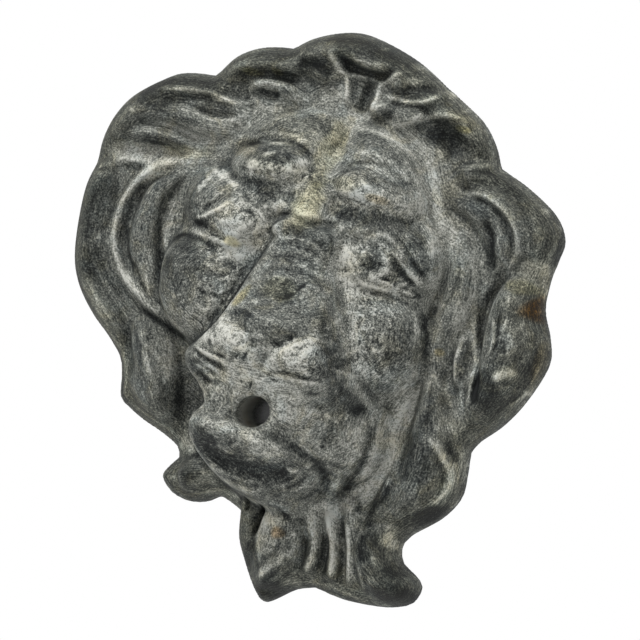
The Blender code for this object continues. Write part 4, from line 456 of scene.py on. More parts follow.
SIDE_LINES = [
    # left locks
    ((-26.4, 19.1), (-30, 16.9), (-33, 14.5), (-35, 12), (-36, 9.6), (-36.1, 7), (-35.5, 4.4), (-34.4, 2),
     (-33, -0.4), (-31, -2.3), (-28.6, -4.2), (-25.6, -5.2), 0.5, 0.7),
    ((-27, 18.5), (-30, 16.2), (-32.6, 13.8), (-34.4, 11.4), (-35.2, 9), (-35.1, 6), (-34.2, 3),
     (-32.6, 0.4), 0.35, -0.4),
    ((-29, 14.2), (-28.8, 11), (-28.2, 8), (-27.4, 5.6), (-26.8, 3), (-26, 0), (-25.4, -3.6), 0.4, -0.25),
    ((-28.3, 10.8), (-27.6, 9), (-27, 6.4), 0.22, 0.8), ((-29.6, 9), (-28.9, 6.6), (-28.4, 5.6), 0.22, 0.5),
    ((-33.4, 12), (-34, 9), (-33.6, 6), (-32.6, 3), (-31.2, 0.4), (-29.4, -2), 0.4, -0.6),
    ((-33.8, 7.4), (-33, 6.2), 0.3, 0.7), ((-31.4, 10.6), (-31.6, 7), (-30.6, 3.4), 0.3, 0.35),
    ((-30, 1.2), (-28.6, -0.2), (-27.4, -2.2), (-26, -4.2), 0.38, 0.65),
    ((-31.2, 1), (-29.6, -0.8), (-28.2, -2.8), (-27, -4), 0.3, -0.8),
    ((-40.6, 12), (-40.8, 7), (-39.8, 2), (-37.6, -2), (-34.4, -5.6), 0.4, -0.5),
    ((-38.6, 14), (-38.2, 9), (-38.1, 5), (-36.9, 0), (-35, -3.2), 0.35, 0.35),
    ((-38.8, 3.4), (-37.4, 0.4), (-35.4, -2.4), (-33, -4.6), (-30.6, -6.4), 0.4, -0.6),
    ((-42, 13.6), (-40, 14), (-37.4, 15), 0.3, 0.35),
    ((-27.8, -6.6), (-24, -7.9), (-20.6, -9), (-17.6, -9.9), 0.5, -1),
    ((-25.6, -5.4), (-23, -6.5), (-20, -8), (-18, -9), 0.4, 0.45),
    ((-39.4, -4.6), (-36, -8), (-33, -10.6), (-30.6, -12.4), 0.4, 0.5),
    ((-36, -5), (-33, -8.4), (-30.4, -10.6), 0.4, -0.2),
    ((-36.6, -8.7), (-33.6, -11), (-31, -12.8), (-29, -14.4), (-27.4, -16.6), (-26.6, -19), (-26, -21.4),
     (-24.4, -23.2), (-21.6, -24.2), (-19, -25), (-16.4, -25.8), (-13.6, -26.4), 0.22, 0.7),
    ((-34.6, -11.2), (-31.8, -13.2), (-29.6, -14.9), (-28, -17), (-27.2, -19.4), (-26.7, -21.6),
     (-25, -23.6), 0.25, -0.8),
    ((-25.4, -12), (-22.8, -13.5), (-20.8, -14.8), 0.3, 0.6),
    ((-24.2, -14), (-22.4, -16.8), (-20.6, -19.2), (-19.4, -21.4), 0.33, 0.65),
    ((-19.8, -14.6), (-19.4, -17), (-20.2, -19.2), 0.22, 0.4),
    ((-25.8, -11.6), (-24.8, -15), (-23, -17.8), (-21.4, -20), 0.5, -0.5),
    ((-28, -9.6), (-26.4, -12), (-26, -15), 0.5, -0.45),
    ((-18.8, -13), (-17.8, -16), (-17, -20), 0.5, -0.2),
    ((-16.6, -12), (-15.6, -14.6), (-14.6, -16), 0.6, -0.7),
    ((-16.4, -15), (-16.6, -18), (-15.8, -22), (-14, -24.6), 0.6, -0.5),
    ((-15.4, -16.2), (-13.6, -16.9), (-12.4, -17.6), (-11.9, -19.2), 0.22, 0.4),
    ((-14.4, -27.4), (-13, -28.2), 0.8, 0.5), ((-11.6, -26.8), (-10.6, -28), (-10.4, -29.4), 0.6, -0.7),
    ((-14.2, -32.6), (-12.8, -34.2), (-10, -35), (-7.6, -34.6), (-5.2, -33.1), 0.24, 0.8),
    ((-12.8, -31.6), (-12, -33), (-10.6, -33.8), 0.8, -0.6),
    ((-8.8, -36.2), (-11.4, -36), (-13.6, -34.6), 0.25, 0.3),
    # right locks
    ((20.2, 31), (22, 32.3), (24.5, 33.2), (27.6, 33.5), 0.38, 0.6),
    ((21.2, 30.9), (23, 31.6), (26, 32), (29, 31.4), (32, 30.2), (35, 28.6), 0.5, -0.6),
    ((29, 32.4), (33, 31), (36.4, 29.4), (39, 27.4), 0.25, 0.3),
    ((20.4, 26.6), (21.8, 27.5), (24, 28), (26.6, 28), (29, 27.2), (31.4, 25.6), (33, 23.6), (34, 21),
     (34.2, 18.6), (33.4, 16.8), (32, 15.2), 0.36, 0.6),
    ((21.4, 26.6), (24, 27.2), (27, 27), (29.6, 25.8), (31.6, 23.8), (33, 21), (33.2, 18.6), 0.3, -0.5),
    ((34.4, 25.2), (35.5, 23.6), (35.9, 22), (36, 20.2), 0.22, 0.6),
    ((20.8, 25.3), (23, 25.9), (26, 25.4), (28, 23.6), (29.4, 21.2), (30, 18.6), (30.2, 16), 0.9, -0.75),
    ((20, 24.2), (22.4, 23.1), (24.6, 21.7), (27, 20.6), (28.7, 18.6), (29.3, 15.4), 0.45, 0.45),
    ((30.6, 22.4), (30.5, 20), (31, 18.6), 0.3, 0.5), ((31.6, 18), (31.8, 16.6), (30.8, 15.2), 0.3, 0.5),
    ((37, 20), (36, 18.4), (35.4, 17), 0.7, 0.3),
    ((32.4, 15), (34, 16.5), (36, 17.1), (38, 16.5), (40, 14.8), 0.3, 0.45),
    ((32.5, 14), (31.5, 12), (31, 9), (31.4, 6), (32.4, 3.4), (33.6, 1.2), 0.6, -0.9),
    ((33.3, 8.8), (33.8, 6), (34.2, 3.4), (33.8, 1), 0.26, 0.75),
    ((34, 9.8), (34.4, 7), (34.9, 4.4), (34.7, 2), 0.3, -1),
    ((30.4, 14.4), (29.8, 10), (30.3, 6.6), (31.3, 3.6), (32.4, 1), (32.7, -1), (31.8, -3.4), (31.7, -6),
     (33.2, -9.4), 0.42, 0.6),
    ((29.6, 3.8), (30, 1), (30.3, -1.6), (30.6, -4.2), 0.75, -0.75),
    ((28.7, 1.6), (28.8, -0.6), (29.4, -3), (30.2, -4.8), 0.25, 0.85),
    ((33.6, -1.6), (33.5, -4.6), (34.6, -7), 0.6, -1), ((34.4, 0.6), (36, 1.6), (38, 1.2), 0.3, -0.4),
    ((42.7, 5.6), (43.5, 4), (43.5, 1.6), (43.1, -1), (42.3, -3), (41, -4.9), (39.2, -6.8), 0.17, 1),
    ((43.7, 2.8), (43.9, 0.6), (43.5, -1.6), (42.4, -3.9), 0.16, 0.9),
    ((43.2, 5), (43.8, 2), (43.4, -0.6), (42.6, -3), 0.18, -1.1),
    ((42.6, 3), (42.8, 0.6), (42.3, -1.6), (41.2, -3.8), (39.4, -5.6), 0.2, -0.8),
    ((39.6, 28), (40.4, 26.4), (40.5, 24), (40.1, 21), (39.5, 18.4), 0.22, 0.5),
    ((41.2, 26.6), (41.6, 24.4), (41.2, 21), (40.9, 18), 0.22, -0.6),
    ((40.8, 20.4), (40.4, 18), (40.9, 15), 0.18, 0.6), ((36.6, 28.6), (38.2, 26.8), (38.8, 24), 0.25, 0.3),
    ((25.2, 33.4), (25.6, 35.4), (24.6, 38), 0.25, 0.4), ((26.4, 33.6), (26.8, 35), 0.25, 0.4),
    # locks beside the face on the right
    ((23.6, 17.4), (25.2, 15.4), (25.4, 12), (24.8, 8.6), (23.6, 5.6), 0.3, -0.5),
    ((26, 16.6), (27.6, 14), (28, 10.6), (27.2, 7.4), 0.25, -0.45),
    ((24.6, 16), (26.4, 14), (26.6, 10.6), (25.8, 7.8), 0.25, 0.35),
    ((26.9, 17.4), (28.6, 14.8), (29, 10), (28.4, 5.6), 0.3, 0.3), ((25.6, 13.6), (25.8, 11), 0.9, -0.45),
    ((24, 1.6), (26, 0.6), (27.4, 2.4), 0.5, -0.4), ((24.4, -1.6), (27, -3), (28.8, -5), 0.6, -0.55),
    ((24, -2.2), (27, -4.9), (29, -6.6), (31, -9), (31.6, -12), 0.3, 0.5),
    ((23.4, -2.6), (22.6, -6), (23, -9), (22.4, -13), (21.4, -16), 0.5, 0.6),
    ((20.6, -9), (21.4, -5.6), (22.4, -3.6), 0.3, -0.5), ((21.4, -10), (22, -6.6), 0.22, 0.4),
    ((26, -6), (26.8, -10), (26.2, -13.4), 0.9, -0.65),
    ((28, -8.6), (29.4, -11.6), (28.8, -13.6), 0.5, 0.3), ((24.8, -8), (24.8, -12), (24, -17), 0.3, -0.4),
    ((28.4, -13.7), (30.6, -16), (32.6, -18.2), (33.8, -20.4), (33.8, -22.6), (32.4, -24.8), (30.4, -26.8),
     0.38, 0.8),
    ((28, -15), (30, -17), (32, -19.4), (32.7, -21.6), (31.8, -23.8), 0.4, -0.55),
    ((31, -15.3), (33, -16.3), (34.2, -17.6), 0.5, -0.9),
    ((30.8, -13.4), (33.6, -14.8), (35, -16.6), (35.6, -19), 0.33, 0.45),
    ((27, -16), (28.4, -19), (28.6, -23), 0.3, -0.4),
    ((36.2, -20), (35.9, -24), (34.8, -27), (32.6, -29.5), (30.4, -31.8), 0.16, 0.8),
    ((36.7, -21.6), (36.1, -25), (34.6, -28), (33, -29.8), 0.16, 0.8),
    ((36.5, -20.6), (36, -24.6), (34.7, -27.6), (32.6, -30), 0.18, -1),
    ((35, -20), (34.8, -23.6), (33, -27), (30, -29.6), 0.35, -0.5),
    ((23.6, -21), (24.9, -23), (25.4, -26), 0.28, 0.5),
    ((23.6, -23.4), (23.4, -26), (22.2, -28.6), (21.6, -31), 0.55, -0.9),
    ((26, -19.6), (26.8, -22), (25.8, -25), 0.5, 0.3), ((26.8, -26.6), (28.4, -29), (27.6, -31), 0.5, -0.4),
    ((21.8, -19), (21.6, -22), (20.6, -25), (20.4, -28), 0.5, 0.4),
    ((18, -27.4), (19, -28.6), (20, -30.4), 0.6, -0.6),
    ((25.6, -32), (26.2, -33.6), (25.6, -34.8), 0.7, 0.8), ((26, -35.4), (27.4, -37), 0.4, 0.6),
    ((23.8, -36.8), (24.6, -37.2), (25.6, -38.2), 0.22, 0.9),
]

BEARD_LINES = [
    ((3.4, -33.2), (6, -33.2), (7.4, -34), (9, -35.5), 0.22, -1),
    ((2.6, -38), (3.4, -41), (5, -44), (6.2, -46), 0.35, -0.6),
    ((3.6, -34.6), (3.6, -38), (4.8, -42), 0.35, 0.5), ((7.6, -35.6), (7.8, -38), 0.9, -0.35),
    ((9.2, -40), (8.6, -42), (6.9, -44), (5.8, -46.2), 0.35, 0.95),
    ((9.4, -42.4), (8, -44.6), (6.6, -47), 0.45, -0.7), ((9.6, -36), (10.4, -39), (9.8, -41.6), 0.3, 0.35),
    ((10.4, -33), (12.2, -35.4), (13, -38), (12.8, -41), (12, -43.6), 0.45, -0.5),
    ((11, -32.2), (13.3, -35), (14, -38), (13.9, -41), (13.4, -43.8), 0.3, 0.5),
    ((15.2, -35.2), (16.7, -37.2), (17, -39.6), (16.7, -42), (16, -43.6), 0.4, -0.4),
    ((13.8, -33), (15.8, -36), (17.6, -38.2), (17.8, -41), (17.5, -43.2), 0.26, 0.5),
    ((14.2, -31), (15.4, -34.4), (17.2, -36.6), 0.45, 0.5), ((17.6, -43), (16.8, -44), 0.3, -0.9),
    ((18.2, -39.4), (18.2, -42), 0.22, 0.5),
    ((17.6, -31.6), (19.2, -35), (20.4, -38), (21.8, -41), (23.8, -43.8), 0.3, 0.5),
    ((16.8, -32), (18.3, -34.4), (19.4, -37.4), 0.42, -0.3),
    ((19.8, -38.4), (20, -41), (21, -43.4), 0.26, 0.5),
    ((18.8, -37), (19.4, -40), (19.4, -42.4), 0.28, -0.5),
    ((20.6, -29.6), (21, -33), (20.6, -36), 0.38, 0.45),
    ((21.6, -33), (21.8, -36), (22.8, -38.8), 0.55, -0.65),
    ((22.8, -33), (23.4, -35.6), (24.6, -38), 0.3, 0.35),
    ((22.8, -39.6), (24.4, -42), (25, -44), 0.3, -0.5),
    ((11.6, -44.9), (14.6, -44.4), (17.2, -44), (20, -44.2), (23, -44.6), (26.6, -45), 0.2, 0.7),
    ((12, -45.6), (15, -45.1), (20, -45), (26, -45.6), 0.22, -0.7),
    ((26, -38.6), (29, -40.4), (32, -42), 0.9, -0.35), ((27, -43), (30, -43.4), (33, -41.6), 0.3, 0.25),
    ((-5.4, -33), (-3, -33.8), (-1, -34), 0.4, 0.3), ((-1.1, -33.2), (-1, -35), 0.4, -1),
    ((2.9, -33.2), (2.7, -35.6), (2, -38), 0.4, -1),
]

# Slight rises, with a negative depth, where the carving is shallower than the broad forms make it
FILLS = [
    (-1.6, 15.8, 4.6, 2.1, -1.8), (8, 20.5, 6.4, 1.3, -1.8), (-1, 16.4, 6, 1.3, -1.8),
    (4.6, 15.4, 1.7, 1.5, -1), (-10, 20.2, 3.4, 1.2, -0.8), (6.4, 12.6, 1.4, 4, -0.9),
    (9, 3, 1.4, 3.4, -0.9), (11.6, -2.6, 1.4, 3, -0.9), (14, -7, 1.6, 2.4, -0.9), (-11, 1.6, 1.6, 6, -0.4),
    (0, 43.6, 4, 1.2, -1.2), (-15.4, -18.4, 2.4, 2.4, -0.8), (-12, 9.4, 3, 1.2, -0.5),
    (9.6, 12, 4.4, 3.6, -0.9), (-14.4, 12, 4.6, 3.4, -0.9), (-6.6, 21.4, 2.4, 1.6, -1),
    (3.4, 21.6, 3, 1.2, -0.7),
]

# Creases cut between the forms, and ones filled in where the depth is below zero: points, half width, depth
CREASES = [
    ((3, -20.8), (8, -21.6), (11.4, -23.4), (12.8, -26), (12.4, -29), 0.8, 1.3),
    ((17.6, -14.4), (18.3, -18), (17.9, -22), (16.5, -26), (14.6, -29.4), 0.8, 1.2),
    ((-10.4, -20.6), (-7, -20.2), (-3.4, -21), 0.6, 0.6),
    ((6.8, 14.6), (9.4, 16.6), (12.4, 17.3), (15.4, 15.8), (19, 12.8), (22, 10.4), 0.55, 0.7),
    ((7.4, 8.8), (11, 7.2), (16, 7.4), (20.6, 8.2), 0.5, 0.5),
    ((-21, 11.4), (-18.4, 14.6), (-14.4, 16.8), (-10.4, 15.8), 0.55, 0.6),
    ((-21.4, 9.2), (-17, 8.4), (-12.6, 6.8), 0.5, 0.6),
    ((11.6, -9.4), (12.6, -11.4), (12.4, -14), 0.7, 0.5),
    ((-1.4, -3.2), (1, -4.4), (3, -5.4), (5, -4.4), (7.2, -3), 0.55, 0.6),
    ((-8.6, -2.2), (-5.4, -2.6), (-2.6, -3.6), 0.5, 0.5), ((-2.4, -5.6), (-1.4, -7.6), 0.5, 0.5),
    ((-29.4, 15), (-28.6, 9), (-27.2, 3), (-25.6, -3), 1, -1),
    ((-3.6, 44.4), (0, 43.6), (4, 44.4), 0.9, -0.8),
    ((-29, 17), (-33.2, 12.8), (-34.8, 8), (-34.4, 3.6), (-32.4, -0.4), 0.9, -0.7),
    ((-29, 30.6), (-25, 30.8), (-21, 31), 0.8, -0.5),
]

# Yellowed and rusty patches: place, half sizes, how yellow, how rusty, turn if any
STAINS = [
    (-2, 18, 3.4, 4.6, 0.75, 0), (-2, 28, 2.4, 6, 0.5, 0), (3.4, 23.6, 2.8, 1.6, 0.4, 0),
    (9.6, 22.6, 2.4, 0.9, 0.4, 0.2), (-13.6, 8.8, 1.6, 0.9, 0.9, 0.1), (-6.8, 0.4, 1.1, 2, 1, 0.1, -15),
    (-0.8, 3.6, 3.4, 2.6, 0.5, 0), (-20.3, 37.8, 1.8, 0.8, 0.9, 0), (-15.8, 39, 1, 0.6, 0.7, 0),
    (18.5, 38, 1.6, 0.7, 0.9, 0), (-28, 21.4, 4.4, 1.3, 0.4, 0, 5), (40, 11.4, 3, 2.5, 0.3, 1.3),
    (36, 14.6, 3, 1.6, 0.6, 0), (25.3, 0, 1.1, 0.8, 0.9, 0.2), (7, -37.5, 1.3, 1, 0.3, 0.5),
    (42, 1, 1, 6.5, 0.5, 0.25), (-10.5, 23.6, 6, 2, 0.2, 0, 6), (-16.5, 25, 3, 2, 0.3, 0.1),
    (-8, 30, 8, 4, 0.15, 0),
]

# Where the lead is crackled and speckled rather than smooth: place, half sizes, how much, turn if any
CRACKLED = [
    (-1, 5, 24, 28, 0.45), (-13, 11, 7.5, 6, 0.6, 15), (11, 10.5, 9, 6, 0.5), (-16, -1, 8, 8, 0.35),
    (15, -2, 8, 8, 0.55), (-6, -7, 5, 3.4, 0.4), (7, -6.5, 5, 3.4, 0.4), (0, -26, 13, 6.5, 0.4),
    (-10.5, 23.5, 7, 3, 0.4), (7, 23.5, 8, 3, 0.4), (6.4, -40, 4, 6, 0.3), (37.5, 4, 5, 11, 0.3),
]

# Crinkled patches: place, half sizes, how many lines, their turn, and how bright
CRINKLES = [
    (-11, 24, 6, 2.8, 30, 10, 0.3), (7, 23.8, 7.4, 2.8, 28, -5, 0.25), (-16, -1, 7, 8, 44, 60, 0.3),
    (15.4, -1.5, 7.6, 7.6, 70, -55, 0.45), (-14, 12, 6.5, 5.4, 46, 35, 0.4), (11, 11, 7, 5, 44, 0, 0.4),
    (-0.5, 6, 4, 6.5, 26, 0, 0.25), (-5.6, -6.8, 4.6, 3, 30, -20, 0.5), (7, -6.4, 4.6, 3, 30, 10, 0.5),
    (0, -15, 9, 4, 40, -10, 0.3), (0, -26.5, 9, 5, 60, -5, 0.35), (14, -20, 5, 7, 34, -70, 0.3),
    (-20.6, 15.4, 3, 5, 20, 80, 0.35), (18.6, 15.4, 3, 5, 20, 100, 0.35), (0, 30.5, 12, 3.4, 30, 0, 0.2),
    (-4, -17, 6, 4, 20, 60, 0.25), (37, 3, 4, 10, 40, 80, 0.35), (6.5, -39, 3.4, 6, 24, 60, 0.35),
]

# Bright scratches and nicks: points, half width, how bright
SCRATCHES = [
    ((36, -1.8), (37.6, -0.8), (39.6, 0.8), 0.75, 2.2), ((0.3, 47.3), (1.6, 48), 0.3, 1),
    ((14, 43.9), (14.5, 42.4), 0.3, 1), ((17, 41.6), (17.7, 40.7), 0.3, 1),
    ((-39.3, 26.2), (-38.1, 25.4), 0.36, 1.4), ((34.9, 28.6), (36.1, 27.9), 0.33, 1.2),
    ((35.1, 12.5), (35.4, 11.5), 0.3, 1), ((36.2, 9.2), (35.7, 6.2), 0.3, 1),
    ((-9.6, 27), (-8.4, 25), (-6.6, 24.2), 0.3, 0.9), ((-5.4, 26.2), (-4.4, 23.6), (-3.4, 22.4), 0.4, 1),
    ((-14, 22.4), (-13, 21), 0.4, 1.1), ((-12.4, 24.6), (-9.8, 25.8), 0.3, 0.8),
    ((3.4, 6.6), (2.6, 4.6), (1.6, 2.9), (0.2, 2.6), 0.26, -1.5), ((-9.5, -4.8), (-7, -9), 0.25, -0.7),
    ((10.6, -7), (11.2, -10), 0.25, -0.7), ((-32.9, 19.4), (-32.4, 19.2), 0.3, -2),
]


def smooth_line(points, step=0.7):
    """A smooth curve through the points, in short steps. Columns after x and z are carried along."""
    p = np.array(points, float)
    ends = np.vstack([2 * p[0] - p[1], p, 2 * p[-1] - p[-2]])
    out = []
    for before, start, stop, after in zip(ends[:-3], ends[1:-2], ends[2:-1], ends[3:]):
        count = max(2, int(math.hypot(*(stop[:2] - start[:2])) / step))
        t = (np.arange(count) / count)[:, None]
        out.append(0.5 * (2 * start + (stop - before) * t
                          + (2 * before - 5 * start + 4 * stop - after) * t ** 2
                          + (3 * start - before - 3 * stop + after) * t ** 3))
    out.append(p[-1:])
    return np.vstack(out)


class Sheet:
    """A level grid over the mask, seen from the front, that holds how far the surface stands out."""

    def __init__(self, pitch):
        self.pitch = pitch
        self.xs = np.arange(LEFT, RIGHT + pitch / 2, pitch)
        self.zs = np.arange(BOTTOM, TOP + pitch / 2, pitch)
        self.X, self.Z = np.meshgrid(self.xs, self.zs)
        self.height = np.zeros_like(self.X)
        self.relief = np.zeros_like(self.X)
        self.tone = np.zeros_like(self.X)
        self.across = np.zeros_like(self.X)
        self.grip = np.zeros_like(self.X)

    def window(self, x0, x1, z0, z1):
        """The part of the grid between these limits."""
        i = [int(np.clip((x - self.xs[0]) / self.pitch, 0, len(self.xs))) for x in (x0, x1)]
        j = [int(np.clip((z - self.zs[0]) / self.pitch, 0, len(self.zs))) for z in (z0, z1)]
        return slice(j[0], j[1] + 2), slice(i[0], i[1] + 2)

    def around(self, x, z, reach):
        """The part of the grid within reach of a point, and the offsets from it."""
        w = self.window(x - reach, x + reach, z - reach, z + reach)
        return w, self.X[w] - x, self.Z[w] - z

    def note_strand(self, w, offset, mask):
        """Keeps the offset across the lock that is uppermost here, for the hair lines."""
        over = mask > self.grip[w]
        self.across[w] = np.where(over, offset, self.across[w])
        self.grip[w] = np.maximum(self.grip[w], mask)


def segment_offset(X, Z, a, b):
    """Share along the segment a-b of the nearest point, and the offset from it."""
    dx, dz = b[0] - a[0], b[1] - a[1]
    t = np.clip(((X - a[0]) * dx + (Z - a[1]) * dz) / (dx * dx + dz * dz + 1e-12), 0, 1)
    ex, ez = X - a[0] - t * dx, Z - a[1] - t * dz
    return t, ex, ez, np.sign(dx * ez - dz * ex)


def follow(sheet, points, reach):
    """Distance from a line, the side of it, the share along it, and its carried values."""
    line = smooth_line(points)
    low, high = line[:, :2].min(0) - reach, line[:, :2].max(0) + reach
    w = sheet.window(low[0], high[0], low[1], high[1])
    X, Z = sheet.X[w], sheet.Z[w]
    nearest = np.full(X.shape, 1e9)
    side, along = np.zeros(X.shape), np.zeros(X.shape)
    carried = np.zeros(X.shape)
    last = line.shape[1] - 1
    for i, (a, b) in enumerate(zip(line[:-1], line[1:])):
        t, ex, ez, hand = segment_offset(X, Z, a, b)
        d = ex * ex + ez * ez
        closer = d < nearest
        nearest = np.where(closer, d, nearest)
        side = np.where(closer, hand, side)
        along = np.where(closer, (i + t) / (len(line) - 1), along)
        carried = np.where(closer, a[last] + (b[last] - a[last]) * t, carried)
    return w, np.sqrt(nearest), side, along, carried


def inside_distance(X, Z, loop):
    """Distance to a closed outline, positive inside it."""
    nearest = np.full(X.shape, 1e9)
    odd = np.zeros(X.shape, bool)
    for a, b in zip(loop, np.roll(loop, -1, 0)):
        _, ex, ez, _ = segment_offset(X, Z, a, b)
        nearest = np.minimum(nearest, ex * ex + ez * ez)
        rise = b[1] - a[1] if abs(b[1] - a[1]) > 1e-12 else 1e-12
        odd ^= ((a[1] > Z) != (b[1] > Z)) & (X < a[0] + (Z - a[1]) * (b[0] - a[0]) / rise)
    return np.where(odd, 1, -1) * np.sqrt(nearest)


def region(sheet, foot, pad):
    """The grid round a closed foot line, with the distance inside that line."""
    loop = smooth_line(foot + [foot[0]], 1.0)[:-1]
    low, high = loop.min(0) - pad, loop.max(0) + pad
    w = sheet.window(low[0], high[0], low[1], high[1])
    return w, sheet.X[w], sheet.Z[w], inside_distance(sheet.X[w], sheet.Z[w], loop)


def soft_max(a, b, soft):
    return 0.5 * (a + b + np.sqrt((a - b) ** 2 + soft * soft))


def soft_min(a, b, soft):
    return -soft_max(-a, -b, soft)


def join(old, new, mask, soft):
    """The higher of two reliefs, rounded where they meet, and only where the mask is."""
    k = soft * np.clip(mask * 6, 0, 1) + 1e-3
    meet = np.clip(k - np.abs(old - new), 0, None) / k
    return np.maximum(old, new) + meet * meet * k * 0.25


def lock(sheet, points, lift, lean=0.0, start=0.3, end=0.3):
    """A lock of hair along (x, z, half width) points. lean moves its crest to one side."""
    reach = 1.1 * max(point[2] for point in points)
    w, distance, side, along, width = follow(sheet, points, reach)
    u = np.clip(side * distance / np.maximum(width, 0.05), -1, 1) - lean
    u = u / (1 - lean * np.sign(u))
    ramp = np.sin(np.clip(along / start, 0, 1) * np.clip((1 - along) / end, 0, 1) * math.pi / 2)
    mask = np.clip(1 - u * u, 0, 1) * ramp
    sheet.relief[w] = join(sheet.relief[w], lift * mask, mask, 1.2)
    sheet.note_strand(w, side * distance + 3 * points[0][0], mask)


def oval(X, Z, rx, rz, turn, square):
    """Zero at the middle of a turned oval and one at its edge."""
    c, s = math.cos(math.radians(turn)), math.sin(math.radians(turn))
    return (np.abs(X * c + Z * s) / rx) ** square + (np.abs(Z * c - X * s) / rz) ** square


def swell(sheet, x, z, rx, rz, lift, turn=0.0, square=2.0, full=0.8):
    """A rounded swelling of the face. full under 1 makes it plumper."""
    w, X, Z = sheet.around(x, z, 1.3 * max(rx, rz))
    mask = np.clip(1 - oval(X, Z, rx, rz, turn, square), 0, 1) ** full
    sheet.relief[w] = join(sheet.relief[w], lift * mask, mask, 1.0)


def boss(sheet, x, z, rx, rz, low, top, soft):
    """A rounded lump that stands from one height to another, whatever is under it."""
    w, X, Z = sheet.around(x, z, 1.6 * max(rx, rz))
    q = oval(X, Z, rx, rz, 0, 2)
    lump = low + (top - low) * np.clip(1 - q, 0, 1) ** 0.5 - np.clip(q - 1, 0, None) * 8
    sheet.height[w] = soft_max(sheet.height[w], lump, soft)


def ridge(sheet, points, width, height, tone=0.0):
    """A fine ridge along a line, or a groove where the height is below zero."""
    w, distance, _, along, _ = follow(sheet, points, width * 3.2)
    ramp = np.clip(along / 0.2, 0, 1) * np.clip((1 - along) / 0.2, 0, 1)
    mask = np.exp(-(distance / width) ** 2) * ramp * ramp * (3 - 2 * ramp)
    sheet.height[w] += height * mask
    sheet.tone[w] += tone * mask


def ridges(sheet, lines):
    """Ridges and grooves, each given as its points, half width, height and tone."""
    for *points, width, height, tone in lines:
        ridge(sheet, points, width, height, tone)


def dent(sheet, x, z, rx, rz, depth, turn=0.0, square=2.0, tone=0.0):
    """A soft hollow, or a rise where the depth is below zero."""
    w, X, Z = sheet.around(x, z, 2.2 * max(rx, rz))
    mask = np.exp(-oval(X, Z, rx, rz, turn, 2) ** (square / 2))
    sheet.height[w] -= depth * mask
    sheet.tone[w] += tone * mask


def soften(field, cells):
    """The field with its finest steps rounded off."""
    reach = max(1, int(round(3 * cells)))
    weight = np.exp(-0.5 * (np.arange(-reach, reach + 1) / max(cells, 0.3)) ** 2)
    weight /= weight.sum()
    for axis in (0, 1):
        pad = [(reach, reach) if i == axis else (0, 0) for i in (0, 1)]
        wide = np.pad(field, pad, mode="edge")
        length = field.shape[axis]
        field = sum(k * np.take(wide, range(i, i + length), axis) for i, k in enumerate(weight))
    return field


# The outline at the back, clockwise from the left of the crown. Each run is one smooth stretch.
CROWN = [
    (-16, 43.6), (-12.5, 46.5), (-7.2, 48.9), (-2.2, 49.2), (5.8, 47.3), (12.8, 43.9), (19.8, 40.2),
    (23.3, 36.7), (25.3, 33.1),
]
RIGHT_SIDE = [
    (25.3, 33.1), (30.8, 31.2), (36.8, 27.9), (39.5, 24.2), (39.4, 20.7), (39, 16.7), (39.4, 11.7),
    (41.6, 7.2), (42.7, 2.7), (40.6, -4.3), (37.8, -9.5), (34.6, -13.3), (33.5, -15.5),
]
RIGHT_LOCKS = [
    (33.5, -15.5), (34.1, -20.3), (34, -23.8), (31.8, -27.8), (27.3, -32.3), (26.3, -34.9), (27.3, -37.3),
    (29.8, -38.6), (31.6, -40.3), (30.8, -43.3), (28.3, -44.8), (24.8, -45.7), (18.8, -46.2), (13.3, -45.6),
]
BEARD_TIP = [
    (13.3, -45.6), (10.3, -46.8), (7.8, -48.9), (5.8, -50.4), (4.3, -50), (2.3, -47.8), (-0.2, -44.1),
    (-2, -40.8), (-2.9, -36.3),
]
JAW_CURL = [
    (-2.9, -36.3), (-6.2, -35.1), (-7.5, -35.1), (-8.7, -36.1), (-10.7, -37), (-13.2, -37.3),
    (-15.7, -36.7), (-17.7, -35.1), (-18.2, -33.7), (-17.2, -31.8), (-16.2, -30.3),
]
LEFT_SIDE = [
    (-16.2, -30.3), (-17, -28.7), (-20.2, -27.2), (-24.2, -25.9), (-27.2, -24.5), (-29.2, -23.1),
    (-30.2, -18.8), (-31.2, -16.3), (-34.2, -13.5), (-38.2, -10.3), (-42, -5.8), (-44, -0.3), (-45.1, 9.7),
    (-44.6, 15.2), (-44.5, 20.7), (-41.7, 27.7), (-35.7, 33.3), (-32.5, 34.8), (-28, 35.5),
]
LEFT_LOBE = [
    (-28, 35.5), (-25.2, 39.7), (-21.7, 42.2), (-18.2, 43.3), (-16, 43.6),
]

# The foot of the head against the mane, and of the muzzle and jaw against the face
HEAD_FOOT = [
    (-1, 33.6), (-5.5, 34.4), (-10.5, 33), (-15, 30), (-19, 26.4), (-22.6, 22), (-25, 17), (-25.4, 12.5),
    (-24.6, 9.4), (-26, 5), (-26, 0), (-24.4, -4.5), (-20, -9), (-12, -13), (0, -15), (14, -14),
    (19.5, -10.4), (22.2, -5), (23.2, 0), (22.8, 4), (21.4, 8), (22, 12), (21.6, 15.5), (19.8, 18.8),
    (17.2, 22), (15.2, 26), (12.4, 29.8), (9, 32.8), (5, 34.4), (1.5, 34),
]
MUZZLE_FOOT = [
    (-5.6, 15), (-6.9, 10), (-8.5, 5), (-9.9, 0), (-11.3, -4), (-13.2, -7.2), (-15.2, -10), (-15.4, -12.6),
    (-13.8, -15), (-11.4, -16.8), (-10.2, -18.6), (-11.2, -20.4), (-11.6, -22.6), (-10.8, -25.4),
    (-8.6, -28), (-5, -30.4), (0, -32.2), (5, -33.2), (10, -33), (14, -31), (17, -27.6), (18.8, -23.4),
    (19.6, -19), (19.4, -15.6), (18, -12.8), (15.4, -9.4), (12.4, -5), (10.6, -1), (7.6, 5), (5.2, 10),
    (4, 15),
]

